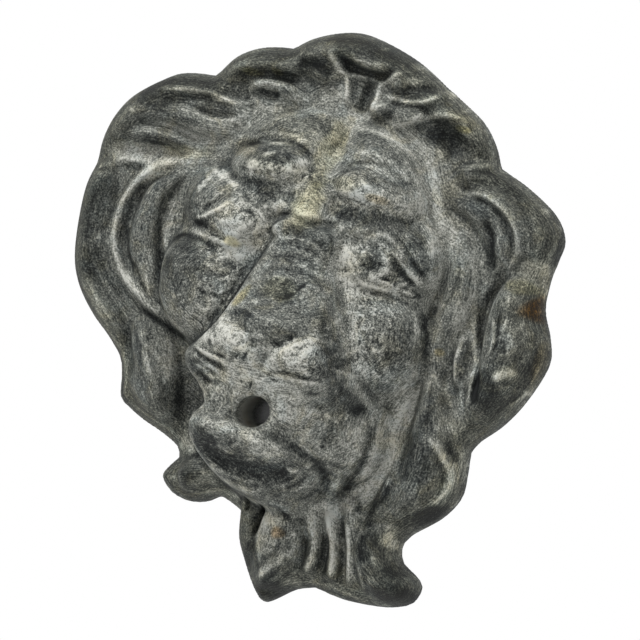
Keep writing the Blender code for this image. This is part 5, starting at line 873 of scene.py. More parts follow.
# The line of the nose, lips and chin seen from the side: height up the face, and how far it stands out
NOSE_LINE = [
    (-35, 20), (-32, 24), (-29, 27.2), (-26, 29.4), (-23.8, 31.4), (-22, 31.8), (-20.4, 30.6), (-18, 29.4),
    (-15, 29.8), (-12, 31), (-9.6, 32.4), (-8, 33.4), (-6, 33.8), (-3, 33.6), (-1, 32.2), (2, 29.2),
    (6, 25.8), (10, 22.8), (14, 20.4), (18, 18),
]


def outline():
    """The closed outline of the mask at its back."""
    runs = (CROWN, RIGHT_SIDE, RIGHT_LOCKS, BEARD_TIP, JAW_CURL, LEFT_SIDE, LEFT_LOBE)
    return np.vstack([smooth_line(run, 1.0)[:-1] for run in runs])


def carve_ground(sheet):
    """The rim, rounded up from the wall, and the slow rise of the mane towards the head."""
    edge = np.clip(sheet.edge / EDGE_ROUND, 0, 1)
    rise = ((sheet.X + 1) / 33) ** 2 + ((sheet.Z - 6) / 36) ** 2
    ground = EDGE_HEIGHT * np.sqrt(1 - (1 - edge) ** 2) + 1.6 * np.clip(1 - rise, 0, 1)
    sheet.height = np.minimum(ground, np.maximum(12 * sheet.edge, -4))


def carve_crown(sheet):
    """The rolled tuft over the forehead and the lobe to its left."""
    lock(sheet, [(-14.5, 41.5, 2.5), (-10.5, 44.4, 3.6), (-5, 46.4, 3.6), (0, 46.9, 3.8), (7, 45.6, 4),
                 (13, 43, 4.4), (19, 40, 4.6), (23.4, 36.6, 3.6), (25.4, 33.6, 1.8)], 4.2, start=0.1,
         end=0.15)
    lock(sheet, [(-14.2, 41, 1.6), (-10.5, 42.2, 3), (-7, 41.4, 2.6), (-4.4, 41, 1.2)], 3.2)
    lock(sheet, [(3.6, 41.6, 1.6), (8, 43.2, 2.8), (12.5, 43.2, 2.2)], 3.4)
    lock(sheet, [(2, 36.4, 1.4), (4.4, 38, 1.8), (6.4, 38.6, 1.2)], 1.8)
    lock(sheet, [(5.4, 37, 1.4), (8.5, 38.4, 2.2), (12, 39.2, 1.2)], 2.4)
    lock(sheet, [(-26.5, 35, 1.8), (-22, 39, 3.6), (-16.5, 41, 3.8), (-11, 40.6, 2.2)], 3.8)
    lock(sheet, [(-21, 35, 1.2), (-17, 36.2, 1.9), (-13, 36.4, 1.9), (-9, 35, 1.2)], 1.8)
    lock(sheet, [(11.4, 36.4, 0.8), (15, 37.8, 2.2), (19, 37.6, 2.9), (22, 34.2, 1.4)], 1.2)


def carve_left_mane(sheet):
    """Rolls that sweep in to the forehead, the long side roll, and the leaf locks beside it."""
    lock(sheet, [(-42.5, 19, 2.6), (-40.6, 25, 3.8), (-36, 31, 4), (-29, 33.8, 3), (-21, 33.8, 1.8)], 3.4,
         start=0.15)
    lock(sheet, [(-34, 29.6, 1.2), (-29, 30.6, 1.9), (-24.5, 30.8, 1.9), (-18.5, 30.8, 1.2)], 2.2)
    lock(sheet, [(-40, 23.4, 1.6), (-35.5, 26.6, 2.6), (-30, 27, 2.2), (-25, 26.4, 1.8),
                 (-20, 27.2, 1.2)], 2.4)
    lock(sheet, [(-40, 20.4, 1.2), (-36, 22.4, 2.2), (-31, 22.8, 1.9), (-26.6, 22.4, 1)], 1.8)
    lock(sheet, [(-41, 16.6, 1.6), (-42, 12, 3.8), (-42, 6, 4.8), (-40.6, 0, 5), (-37, -6, 4.4),
                 (-32, -10.5, 3.2), (-27, -15, 2)], 4.2, lean=-0.1, start=0.12)
    lock(sheet, [(-26.8, 18.8, 0.4), (-30, 14.5, 2.2), (-31.6, 8, 3.4), (-30.6, 2, 3.6), (-27.6, -3, 2.8),
                 (-23.5, -7, 1.2)], 3.0, lean=0.3)
    lock(sheet, [(-39, -5, 2), (-34.5, -10.5, 2.8), (-29.5, -15.5, 2.8), (-27, -20, 2)], 2)
    lock(sheet, [(-28.5, -8, 1.4), (-25.5, -12, 4.4), (-23.2, -17, 5), (-20.5, -22, 4.4),
                 (-17, -25, 2.4)], 4.6, start=0.25)
    lock(sheet, [(-5, -31, 4), (-10, -32.2, 4.4), (-14, -33.6, 2.8)], 3.4, end=0.15)


def carve_right_mane(sheet):
    """The ear-like curl, the egg-shaped knob, and the locks that run down beside the cheek."""
    lock(sheet, [(19.6, 30, 1.4), (23.5, 30.8, 3.2), (29, 30, 4.4), (34.6, 26.6, 5), (37.8, 21.5, 4.4),
                 (38.4, 17, 2)], 4.4, start=0.2)
    lock(sheet, [(19.6, 25.4, 1), (24, 25.6, 2.6), (28.4, 24, 4), (31, 20, 3.4), (30.6, 15, 1.2)], 3.2,
         lean=-0.1)
    lock(sheet, [(35, 17.6, 3), (36.6, 11, 6.2), (37.2, 4, 6.8), (36.8, -3, 6.2), (35, -9, 4.2),
                 (33, -13, 2)], 6.0, start=0.2, end=0.35)
    lock(sheet, [(32.4, 12, 0.6), (32.6, 6, 1.5), (33.2, 1, 0.8)], 1.6)
    lock(sheet, [(28.6, 4, 0.5), (29.5, -1, 1.7), (31, -7, 0.7)], 2.2)
    lock(sheet, [(22.6, 19.4, 1.2), (25, 14.5, 2.8), (25.6, 9, 3), (25, 2, 2.6), (26, -4, 1.6)], 2.8)
    lock(sheet, [(24.6, -4, 1.4), (26.4, -11, 3.2), (28, -18, 4.4), (27.4, -26, 4.4), (23.5, -33, 2.4)],
         4.2)
    lock(sheet, [(30, -5, 1.2), (32.6, -11, 2.6), (34.4, -18, 2.4), (33.4, -25, 2.8), (28.5, -31, 2)],
         3.0)
    lock(sheet, [(22.6, -22, 0.8), (22.4, -27, 1.6), (20.6, -32, 1.2)], 2.2)


def carve_beard(sheet):
    """The strap, the leaf and the flutes below the chin, and the curl at the right."""
    lock(sheet, [(-1.4, -32, 2), (-0.9, -38, 2.6), (3, -44, 2.4)], 1.6)
    lock(sheet, [(4.4, -31, 2.6), (6.6, -37, 4.8), (6.4, -42.5, 4.6), (6.6, -48, 3)], 4, end=0.1)
    lock(sheet, [(9.8, -31, 2), (12.6, -38, 2.2), (12.2, -44, 2.2)], 2.4)
    lock(sheet, [(13.5, -30, 1.6), (16.4, -38, 1.9), (16.4, -44, 1.8)], 2.2)
    lock(sheet, [(16.5, -28, 1.5), (19.8, -36, 2), (21.4, -43, 2.2)], 2.2)
    lock(sheet, [(20.5, -32, 2.2), (23.5, -37.6, 3.8), (27.6, -41, 4.8), (32, -40.8, 2.8)], 5, end=0.12)


def carve_head(sheet):
    """The skull, with the forehead, brows, temples, eyes and cheeks swelling from it."""
    w, X, Z, inside = region(sheet, HEAD_FOOT, 6)
    rise = np.clip(inside / HEAD_ROUND, -2, 1)
    plump = np.where(rise > 0, np.sqrt(np.clip(1 - (1 - rise) ** 2, 0, 1)), 4 * rise)
    gentle = np.where(rise > 0, rise * rise * (3 - 2 * rise), 5 * rise)
    # the brow of the head rises gently out of the mane, the cheeks stand over it
    share = np.clip((Z - 8) / 14, 0, 1) * np.clip(1 - (X - 2) / 16, 0.2, 1)
    skull = HEAD_BASE + HEAD_RISE * (plump * (1 - share) + gentle * share)
    sheet.relief[:] = 0
    swell(sheet, 1, 1, 17, 17, 3.2, full=1)
    swell(sheet, -9.6, 28.8, 8.6, 5.4, 2.6, turn=26)
    swell(sheet, 7.8, 28.8, 9.4, 5.8, 3.2, turn=-28)
    swell(sheet, -11.4, 23.4, 7.8, 4.2, 5.4, turn=10, full=0.7)
    swell(sheet, 8.4, 23.8, 8.6, 4.2, 5.8, turn=-4, full=0.7)
    swell(sheet, -8.6, 18.4, 6.4, 4.8, 3.4, turn=8, full=1)
    swell(sheet, 8.6, 18.2, 7.6, 4.6, 3.4, turn=-4, full=1)
    swell(sheet, -1.8, 18.8, 4.4, 6.6, 3.6)
    swell(sheet, -20.4, 15.4, 4.4, 6.2, 2.8, turn=-14)
    swell(sheet, 18.4, 15.4, 4.4, 6.6, 3, turn=14)
    swell(sheet, -14.2, 13.2, 8.6, 7, 3.4, turn=14, full=0.9)
    swell(sheet, 11.6, 12.2, 7.4, 4.8, 2)
    swell(sheet, -17.4, -0.6, 9.6, 8.8, 3.6, turn=-12, square=2.5, full=0.7)
    swell(sheet, 15.4, -1.4, 9.4, 9, 3.6, turn=-8, square=2.2, full=0.9)
    sheet.height[w] = soft_max(sheet.height[w], skull + sheet.relief[w], 0.8)


def carve_muzzle(sheet):
    """The nose, lips, jaw and jowl: one block with steep flanks under a rounded top."""
    w, X, Z, inside = region(sheet, MUZZLE_FOOT, 5)
    line = smooth_line(NOSE_LINE, 0.4)
    top = np.interp(Z, line[:, 0], line[:, 1])
    middle = np.interp(Z, [-30, -22, -12, 0, 14], [0.5, 0.2, 0.8, 0.4, -0.9])
    half = np.interp(Z, [-32, -24, -18, -12, -6, 0, 14], [8, 10, 11, 13, 11.4, 8.6, 4.6])
    fall = np.interp(Z, [-20, -12, -8, 0, 14], [1.8, 1.8, 2.6, 3.4, 1.6])
    top = top - fall * (np.abs(X - middle) / half) ** 2.4
    # below the nose the right side falls away over the lips and the jaw to the jowl
    start = np.interp(Z, [-32, -27, -20, -14, -9, -6], [2, 2.5, 4.5, 7, 11, 14])
    slope = np.interp(Z, [-32, -27, -20, -14, -10, -6], [1.0, 0.95, 0.85, 1.1, 1.2, 0.6])
    top = top - np.clip(X - start, 0, None) * slope
    jowl = np.clip((X - 4) / 9, 0, 1) * np.clip((-9 - Z) / 6, 0, 1)
    wall = (18 - 7.0 * jowl) + (6.0 - 3.8 * jowl) * inside
    sheet.height[w] = soft_max(sheet.height[w], soft_min(top, wall, 3.0), 0.8)
    # two small lumps at the root of the nose, and the full jowl below the corner of the mouth
    boss(sheet, -4.6, 13.4, 3, 2.7, 13, 21.2, 0.6)
    boss(sheet, 2.4, 13.4, 3, 2.7, 13, 21.2, 0.6)
    dent(sheet, 15.2, -19.6, 3.8, 5.4, -1.6, tone=0.2)
    dent(sheet, 15.8, -12.8, 2.4, 1.4, 1.6, turn=-30, tone=-0.5)


def cut_face(sheet):
    """Brow ledges, eyelids, nose leather, whisker wrinkles and the lips."""
    dent(sheet, -1.2, 29.5, 1.7, 5.5, 1.5, tone=0.2)
    ridges(sheet, [
        ((-17, 21.4), (-13, 20.8), (-8, 20.4), (-5, 21.4), 1.1, -0.9, 0),
        ((0.6, 21.4), (5, 20.8), (9.5, 21), (14.6, 20.6), (17, 19.4), 1.1, -1, 0),
        ((-18.5, 23.5), (-15, 26.6), (-10, 28.2), (-5.4, 27), (-2.8, 23.6), 0.7, -0.8, 0),
        ((0.6, 22.6), (2.4, 26.2), (6.4, 28.2), (11, 27), (15, 23.4), 0.7, -0.8, 0),
        # the left eye: upper lid, lower lid and the fold under it
        ((-22, 10.4), (-18, 12.4), (-15, 15.6), 0.5, 0.6, 0.4),
        ((-22.6, 9.1), (-17.5, 8.6), (-13, 7.2), (-10.5, 5.6), 0.7, 0.7, 0.6),
        ((-22.6, 10.4), (-18.5, 10), (-14, 8.8), 0.6, -0.8, -0.5),
    ])
    dent(sheet, -11.6, 12.6, 2.6, 2.3, -1, turn=10)
    # the right eye
    for turn in range(0, 330, 30):
        a, b = math.radians(turn), math.radians(turn + 42)
        ridge(sheet, [(11.3 + 3.1 * math.cos(c), 12.6 + 2.9 * math.sin(c)) for c in (a, (a + b) / 2, b)],
              0.6, 0.45, tone=0.25)
    dent(sheet, 11.3, 12.6, 1.9, 1.7, -0.9, tone=-0.7)
    ridge(sheet, [(5.6, 14), (8.4, 16.4), (12, 17.2), (14.6, 15.8), (17.4, 13), (21, 9.6)], 0.6, 0.7,
          tone=0.5)
    dent(sheet, 16.2, 11.2, 2.2, 1.2, 0.8, turn=-35, tone=-0.6)
    ridges(sheet, [
        ((7.4, 8.8), (12, 9), (17, 9.4), (20.6, 8.8), 0.6, 0.7, 0.5),
        ((9, 7.4), (14, 8), (18.4, 8), (21.2, 7.6), 0.5, 0.5, 0.3),
        ((7.4, 6.4), (13, 6.8), (19.5, 6.8), 0.6, -0.6, 0),
        # nose leather and the pads under it
        ((-9.5, -1), (-7.4, -3.2), (-4, -4.2), (-1.2, -6.2), (0.8, -8.2), (2.8, -5.6), (5.2, -3.4),
         (8.8, -1.6), 1, -1.2, -0.4),
        ((0.8, -5), (0.8, -8), (0.7, -11), 0.9, -0.9, -0.2),
        ((-7.2, 14.6), (-4.4, 16.2), (-1.2, 15.6), (2.2, 16.2), (4.8, 14.6), 0.7, -1, -0.3),
    ])
    dent(sheet, -5.6, -6.8, 4.2, 2.8, -1, tone=0.3)
    dent(sheet, 7, -6.4, 4.2, 2.9, -1, tone=0.3)
    dent(sheet, 0.4, -1.4, 4.6, 2, -0.7)
    ridges(sheet, [
        ((-6.4, 0.8), (-2, 2.4), (2, 2.6), (5, 1.2), 0.8, -0.6, -0.3),
        ((-4.4, 4.4), (0, 5.2), (3.6, 4.2), 0.5, -0.3, -0.2),
        ((3.4, -9.6), (8, -9.9), (12.4, -9.2), 0.4, -0.7, -0.7),
    ])
    for row, (reach, bend) in enumerate(((0.0, 0.3), (0.9, 0.0), (1.9, -0.3))):
        down = 1.55 * row
        ridge(sheet, [(-13 + reach, -9.2 - down), (-9.4, -10.3 - down),
                      (-4.6 - reach, -11.4 - down + bend)], 0.5, 0.6, tone=0.4)
        ridge(sheet, [(-12.4 + reach, -10.1 - down), (-9, -11 - down),
                      (-5.4 - reach, -11.9 - down + bend)], 0.5, -0.6, tone=-0.4)
        ridge(sheet, [(3.8 + reach, -11.2 - down), (7.6, -11.5 - down + bend),
                      (11.6 - reach, -10.4 - down)], 0.45, -0.45, tone=-0.4)
    # lips and chin
    ridge(sheet, [(-11.2, -18.4), (-8, -18.8), (-4.5, -19.6)], 0.9, -1)
    ridge(sheet, [(4.4, -18.8), (8, -19.8), (11.4, -21.6), (13.2, -25), (12.6, -28.8), (10, -31.6)], 1.2,
          -1.8, tone=-0.3)
    dent(sheet, *SPOUT_HOLE, 3.7, 3, 1, turn=35, tone=0.3, square=4)
    ridges(sheet, [
        ((-9.4, -22.4), (-5, -21.4), (0, -21.8), (4.6, -23.2), (8.4, -24.8), 1.6, 1.1, 0.4),
        # the groove under the lower lip is darkened as painted shade
        ((-8, -25), (-4, -26.8), (1, -27.4), (6, -27.2), (10, -26), 1.8, -1.6, -0.5),
        ((-6, -29.4), (0, -30.6), (6, -30.4), 1.6, 0.6, 0),
        ((18.6, -13), (20, -17), (19.8, -21.6), (17.8, -26.6), (14, -30.6), 1.2, -1.2, -0.4),
    ])


def cut_mane(sheet):
    """Sharp edges and hollows between the locks."""
    # the tuft over the forehead
    ridges(sheet, [
        # the first groove is darkened as painted shadow under the rolled tuft
        ((-6.8, 45.2), (-4.4, 43.9), (-1, 43.2), (2.6, 43.4), (5, 44.8), 0.9, -2.4, -0.8),
        ((-7.5, 45.2), (-5, 42.6), (-3.6, 41.2), (-3, 39), (-2.4, 36), 0.7, 1.2, 0.6),
        ((-4, 42.1), (0, 42.3), (2.8, 42), 0.5, 0.8, 0.5),
        ((6.2, 45.2), (4.4, 43.4), (2.6, 42), (2.4, 40), (1.9, 36), 0.7, 1.1, 0.6),
        ((2.6, 40.8), (5, 40.1), (8, 40.1), (10.8, 40.6), (12.6, 42), (14.8, 44.8), 0.7, 1.2, 0.6),
        ((4, 34.6), (9, 36.6), (13, 38.9), (16.4, 39.9), (20.4, 39.6), (22, 38.4), 0.9, 1.4, 0.5),
        ((-0.2, 42.1), (0.2, 39), (0.1, 35.4), 1, -2, -0.8),
        ((5.4, 41.4), (8.4, 42.4), (11.4, 43.4), (13, 44.2), 0.8, -1.2, -0.5),
        ((-13, 40.8), (-9, 41.8), (-5.6, 40.4), 1.2, -1.4, -0.7),
    ])
    dent(sheet, 16.4, 36.6, 4.8, 1.9, 2.4, turn=-16, tone=-0.8)
    ridges(sheet, [
        ((-23.6, 35.6), (-21.5, 37.2), (-17, 38.7), (-11, 38.7), 0.9, -1.6, -0.7),
        # left lobes
        ((-35, 30.7), (-31, 31.8), (-27, 32.4), (-23.5, 32), (-20, 32.3), (-17, 33.6), 0.6, 1, 0.5),
        ((-32.5, 30), (-27, 30.9), (-21, 30.4), 0.9, -1, -0.5),
        ((-33, 29), (-28, 28.3), (-24, 28.1), (-21, 28.8), (-18, 30), 0.8, 0.9, 0.5),
        ((-20.5, 35.4), (-17, 36.9), (-14, 37.1), (-11, 36), 0.5, 0.8, 0.4),
        ((-18.4, 35), (-14.2, 35), 0.9, -1, -0.8),
        ((-39, 24.2), (-33, 25), (-27, 24.4), (-23, 24.8), 1, -1.2, 0),
        ((-42.6, 18.4), (-38, 19.8), (-31, 20.8), (-26, 21.4), 1.3, -1.4, 0),
        ((-43, 14.8), (-41, 15.8), (-37.5, 17.6), (-33.5, 17), 0.7, 1, 0.2),
        # the long edge beside the side roll, the scoop inside it and the leaf lock's sharp edge
        ((-25, 21), (-30, 19), (-33.4, 16.2), (-35.6, 12.6), (-36.3, 8), (-36, 3), (-34.4, 0), (-32, -3),
         (-28, -5.6), (-22, -8.2), (-18.5, -10), 1, 1.8, 0.6),
        ((-31.5, 16.4), (-33.6, 13), (-34.4, 8.4), (-34.2, 3.6), (-32.6, 0.2), (-29.6, -3), 1.1, -1.8,
         -0.7),
        ((-27.6, 17), (-28.8, 12), (-28.4, 6), (-27, 2), (-25, -3.4), 0.7, -2, -0.8),
        ((-40, 0), (-38, -3.4), (-34.4, -6.6), (-31, -9.4), (-28.8, -12.4), (-26.8, -16.4), (-25, -21), 1,
         -1.8, -0.6),
        ((-26.6, -8.6), (-24, -14), (-21.4, -19.5), (-19, -23), 0.8, 1, 0.4),
    ])
    # darkened as painted shadow in the deep recess behind the muzzle
    dent(sheet, -15.2, -20, 3, 4.6, 2.6, turn=12, tone=-1)
    # the right curl and the slender leaves
    ridges(sheet, [
        ((20.5, 26.6), (23.5, 27.8), (27, 27.6), (30.8, 25.6), (33.4, 22.2), (33.8, 19), (32, 16), 0.7,
         1.4, 0.6),
        ((20.4, 29), (25, 30), (29.4, 29.4), (33.4, 26.6), (35.6, 22.6), (35.8, 18.6), 1, -1.5, -0.4),
        ((26, 23.8), (28.6, 21.8), (29.9, 18), (30, 14.6), 0.9, -1.2, -0.6),
        ((20.2, 30.8), (23.2, 32.6), (27.8, 33.2), 0.7, 0.8, 0.5),
        ((34.4, 16.8), (31.9, 14), (31, 9), (31.2, 4), (32.2, -0.4), (33.6, -4.4), (34, -8), 0.8, -2.4,
         -0.7),
        ((28, 4.5), (28.5, -1), (29.5, -5.6), 0.5, 0.8, 0.4),
        ((29.8, 7.5), (30.6, 3.6), (32, -0.8), (32.3, -4), (32.8, -9.6), 0.5, 0.9, 0.4),
        ((27.2, -13.4), (30, -16.6), (32.6, -19.6), (33, -22.2), (31.4, -25), (28.2, -27.4), 0.8, 1.3, 0.5),
        ((28, -8), (31, -12.6), (34, -17.2), 0.7, 0.8, 0.3),
        ((22.6, -3), (23.4, -9), (22.4, -15), (21.6, -20), (20.4, -26), (19.4, -31), 1.1, -1.2, 0.3),
        ((22.4, 8), (21.8, 4), (22.8, 0), 0.6, -1, -0.4),
        # the flutes of the beard, and the slot beside its strap
        ((9.8, -39.4), (7.2, -42.6), (5.2, -46), 0.8, 1.4, 0.5),
        ((9.6, -32), (12.4, -36), (13.3, -39.8), (12.4, -44), 0.7, 1.2, 0.5),
        ((11, -36.4), (11.4, -40), (10.4, -43.4), 0.8, -1.4, -0.6),
        ((12.8, -30.4), (15.6, -35.4), (17, -40), (17.2, -44), 0.7, 1.2, 0.5),
        ((14, -34.8), (15.3, -38.6), (15.2, -43), 0.8, -1.5, -0.6),
        ((16.4, -31), (19.2, -37), (20.2, -42), (20.4, -44.4), 0.6, 1.1, 0.5),
        ((17, -36), (18.6, -40), (18.8, -43.6), 0.8, -1.4, -0.6),
        ((20.4, -36), (22.8, -40.6), (23.6, -44.4), 0.6, 1, 0.4),
        ((22, -30.4), (24.8, -34.4), (27.6, -37), (30.4, -38.6), 0.7, 0.9, 0.4),
        ((2.7, -33), (2.3, -36), (1.8, -39.4), 0.4, -3, -1),
        ((-0.8, -32.8), (-0.7, -35.8), 0.5, -1.6, -0.8),
    ])


def carve(pitch):
    """The whole front of the mask as a height sheet."""
    sheet = Sheet(pitch)
    sheet.edge = inside_distance(sheet.X, sheet.Z, outline())
    carve_ground(sheet)
    carve_crown(sheet)
    carve_left_mane(sheet)
    carve_right_mane(sheet)
    carve_beard(sheet)
    sheet.height += 1.2 * sheet.relief * np.sqrt(np.clip(sheet.edge / 4, 0, 1))
    carve_head(sheet)
    carve_muzzle(sheet)
    sheet.height = np.where(sheet.edge > 1.5, soften(sheet.height, 0.35 / pitch), sheet.height)
    cut_face(sheet)
    cut_mane(sheet)
    return sheet


def lattice(size, seed):
    """Random values on a coarse lattice, the same each run."""
    return np.random.default_rng(seed).random(size)


def cloud(X, Z, size, seed):
    """Smooth noise from -1 to 1 whose lumps are about so large."""
    grid = lattice((160, 160), seed)
    u, v = X / size + 80.37, Z / size + 80.71
    i, j = np.floor(u).astype(int) % 158, np.floor(v).astype(int) % 158
    a, b = u - np.floor(u), v - np.floor(v)
    a, b = a * a * (3 - 2 * a), b * b * (3 - 2 * b)
    low = grid[j, i] * (1 - a) + grid[j, i + 1] * a
    high = grid[j + 1, i] * (1 - a) + grid[j + 1, i + 1] * a
    return 2 * (low * (1 - b) + high * b) - 1


def ragged(X, Z):
    """An uneven factor round one, for the edges of patches."""
    return 1 + 0.35 * cloud(X, Z, 2.5, 5) + 0.25 * cloud(X, Z, 1.1, 6)


def wash(sheet, field, x, z, rx, rz, amount, turn=0):
    """Adds a broad patch with a ragged edge to the field."""
    w, X, Z = sheet.around(x, z, 1.7 * max(rx, rz))
    mask = np.clip(1.25 - oval(X, Z, rx, rz, turn, 2) * ragged(sheet.X[w], sheet.Z[w]), 0, 1)
    field[w] += amount * mask * mask * (3 - 2 * mask)


def streak(sheet, points, width, amount):
    """Adds a ragged streak to the tone along a line."""
    w, distance, _, along, _ = follow(sheet, points, 1.8 * width)
    mask = np.clip(1.4 - distance / width * ragged(sheet.X[w], sheet.Z[w]), 0, 1)
    mask = mask * np.clip(along / 0.12, 0, 1) * np.clip((1 - along) / 0.12, 0, 1)
    sheet.tone[w] += amount * mask * mask * (3 - 2 * mask)


def crinkle(sheet, x, z, rx, rz, count, turn, tone, seed):
    """Short crinkled lines scattered over an oval patch, most of them one way."""
    random = np.random.default_rng(seed)
    for _ in range(count):
        far, way = math.sqrt(random.random()), random.random() * 2 * math.pi
        px, pz = x + rx * far * math.cos(way), z + rz * far * math.sin(way)
        heading = math.radians(turn) + random.normal() * 0.5
        bend = random.normal() * 0.5
        stride = 0.5 + 0.7 * random.random()
        points = []
        for _ in range(4):
            points.append((px, pz))
            px += math.cos(heading) * stride
            pz += math.sin(heading) * stride
            heading += bend + random.normal() * 0.4
        share = (0.5 + random.random()) * random.choice([1, 1, -0.8])
        ridge(sheet, points, 0.24 + 0.14 * random.random(), 0.16 * share, tone=tone * share)


def on_surface(sheet, points, plane):
    """Where points read off the photograph on a plane, so far from the wall, lie on the carving."""
    seen = np.array(points, float)
    slope = (math.tan(math.radians(VIEW_RIGHT)), math.tan(math.radians(VIEW_UP)))
    place = seen
    for _ in range(6):
        rise = sample(sheet, sheet.height, place[:, 0], place[:, 1]) - plane
        place = (place + seen + rise[:, None] * slope) / 2
    return place


def finish_marks(sheet):
    """The patches, streaks, stains and scratches of the old surface, and where it is crackled."""
    for x, z, rx, rz, depth in FILLS:
        dent(sheet, x, z, rx, rz, depth)
    for *points, width, depth in CREASES:
        ridge(sheet, points, width, -depth)
    for patch in PATCHES:
        wash(sheet, sheet.tone, *patch)
    for *points, width, amount in STREAKS:
        streak(sheet, points, width, amount)
    for plane, lines in ((MANE_PLANE, CROWN_LINES + SIDE_LINES + BEARD_LINES), (FACE_PLANE, FACE_LINES),
                         (MUZZLE_PLANE, MUZZLE_LINES)):
        for *points, width, amount in lines:
            place = on_surface(sheet, points, plane)
            rise = LINE_RISE * amount * min(1, 0.5 / width)
            ridge(sheet, place, max(width, LINE_WIDTH), rise, tone=LINE_TONE * amount)
    for x, z, rx, rz, yellow, rust, *turn in STAINS:
        wash(sheet, sheet.yellow, x, z, rx, rz, yellow, *turn)
        wash(sheet, sheet.rust, x, z, rx, rz, rust, *turn)
    for patch in CRACKLED:
        wash(sheet, sheet.grain, *patch)
    for seed, patch in enumerate(CRINKLES):
        crinkle(sheet, *patch, seed)
    for *points, width, amount in SCRATCHES:
        ridge(sheet, points, width, SCRATCH_RISE * amount, tone=amount)
    # the rim has stayed dark all round
    rim = np.clip(1.25 - sheet.edge / RIM_MARK * ragged(sheet.X, sheet.Z), 0, 1)
    sheet.tone += RIM_TONE * rim
    sheet.yellow += RIM_YELLOW * rim


def comb(sheet):
    """Turns the hair lines to run along the locks, round the head and round the rim."""
    w, X, Z, inside = region(sheet, HEAD_FOOT, 6)
    free = sheet.grip < 0.02
    sheet.across = np.where(free, sheet.edge, sheet.across)
    head = inside > 0
    rounded = soften(sheet.height, 0.9 / sheet.pitch)
    sheet.across[w] = np.where(head, 1.5 * rounded[w] + 0.3 * inside, sheet.across[w])
    w, X, Z, inside = region(sheet, MUZZLE_FOOT, 5)
    nose = (inside > 0) & (Z > -3)
    sheet.across[w] = np.where(nose, Z - 0.05 * X * X, sheet.across[w])
    rim = sheet.edge < 3.2
    sheet.across = np.where(rim, 1.3 * sheet.edge + 20, sheet.across)


def roughen(sheet):
    """The uneven surface of an old hand-worked casting, from slow waves down to pits."""
    X, Z = sheet.X, sheet.Z
    inner = np.clip(sheet.edge / 2, 0, 1)
    slow, fine = (sum(rise * cloud(X, Z, size, seed) for rise, size, seed in waves)
                  for waves in (SLOW_WAVES, FINE_WAVES))
    combed = 0.09 * cloud(1.1 * sheet.across, 0.2 * Z, 1.0, 27)
    pits = np.clip(cloud(X, Z, 0.9, 25) * cloud(X, Z, 2.6, 26) - 0.3, 0, 1)
    crackle = 0.10 * cloud(X, Z, 0.62, 28) * np.clip(sheet.grain, 0, 1)
    sheet.height += inner * (slow + fine + combed + crackle - 0.5 * pits)


def hollow_height(sheet, part):
    """How far the hollow reaches forward: the carved front less the wall, measured square to it."""
    wall = WALL / part
    cells = int(wall / sheet.pitch) + 1
    wide = np.pad(sheet.height, cells, mode="edge")
    rows, columns = sheet.height.shape
    inner = np.full(sheet.height.shape, 1e9)
    for down in range(-cells, cells + 1):
        for across in range(-cells, cells + 1):
            reach = wall ** 2 - (down ** 2 + across ** 2) * sheet.pitch ** 2
            if reach >= 0:
                row, column = cells + down, cells + across
                shifted = wide[row:row + rows, column:column + columns]
                inner = np.minimum(inner, shifted - math.sqrt(reach))
    inner = np.minimum(inner, soften(inner, 1.4 / sheet.pitch))
    crown = HOLLOW_DEPTH / part - 0.002 * (sheet.X ** 2 + sheet.Z ** 2)
    inner = soft_min(inner, crown, 0.4)
    return soft_min(inner, (sheet.edge - RIM / part) * 5, 0.2)


def link(mesh, name):
    piece = bpy.data.objects.new(name, mesh)
    bpy.context.scene.collection.objects.link(piece)
    return piece


def block(name, sheet, height, back):
    """A closed block with its front face at the given heights, kept only near the mask."""
    rows, columns = height.shape
    vertices = np.column_stack([sheet.X.ravel(), -height.ravel(), sheet.Z.ravel()])
    corner = (np.arange(rows - 1)[:, None] * columns + np.arange(columns - 1)).ravel()
    near = (sheet.edge[:-1, :-1] > -2.5 * sheet.pitch - 0.6).ravel()
    corner = corner[near]
    faces = np.column_stack([corner, corner + 1, corner + columns + 1, corner + columns])
    mesh = bpy.data.meshes.new(name)
    mesh.vertices.add(len(vertices))
    mesh.vertices.foreach_set("co", vertices.ravel())
    mesh.loops.add(faces.size)
    mesh.loops.foreach_set("vertex_index", faces.ravel())
    mesh.polygons.add(len(faces))
    mesh.polygons.foreach_set("loop_start", np.arange(0, faces.size, 4))
    mesh.update(calc_edges=True)
    body = bmesh.new()
    body.from_mesh(mesh)
    bmesh.ops.delete(body, geom=[v for v in body.verts if not v.link_faces], context="VERTS")
    border = [edge for edge in body.edges if edge.is_boundary]
    skirt = bmesh.ops.extrude_edge_only(body, edges=border)["geom"]
    for vertex in skirt:
        if isinstance(vertex, bmesh.types.BMVert):
            vertex.co.y = back
    bmesh.ops.holes_fill(body, edges=[edge for edge in body.edges if edge.is_boundary], sides=0)
    bmesh.ops.recalc_face_normals(body, faces=body.faces[:])
    body.to_mesh(mesh)
    body.free()
    return link(mesh, name)


def combine(piece, other, operation):
    """Takes the other solid out of the piece, or joins it on."""
    boolean = piece.modifiers.new(other.name, "BOOLEAN")
    boolean.operation = operation
    boolean.solver = "MANIFOLD"
    boolean.object = other


def wall_cutter():
    """Everything behind the back plane."""
    body = bmesh.new()
    bmesh.ops.create_cube(body, size=200)
    bmesh.ops.translate(body, verts=body.verts, vec=(0, 100, 0))
    mesh = bpy.data.meshes.new("wall_cutter")
    body.to_mesh(mesh)
    body.free()
    return link(mesh, "wall_cutter")


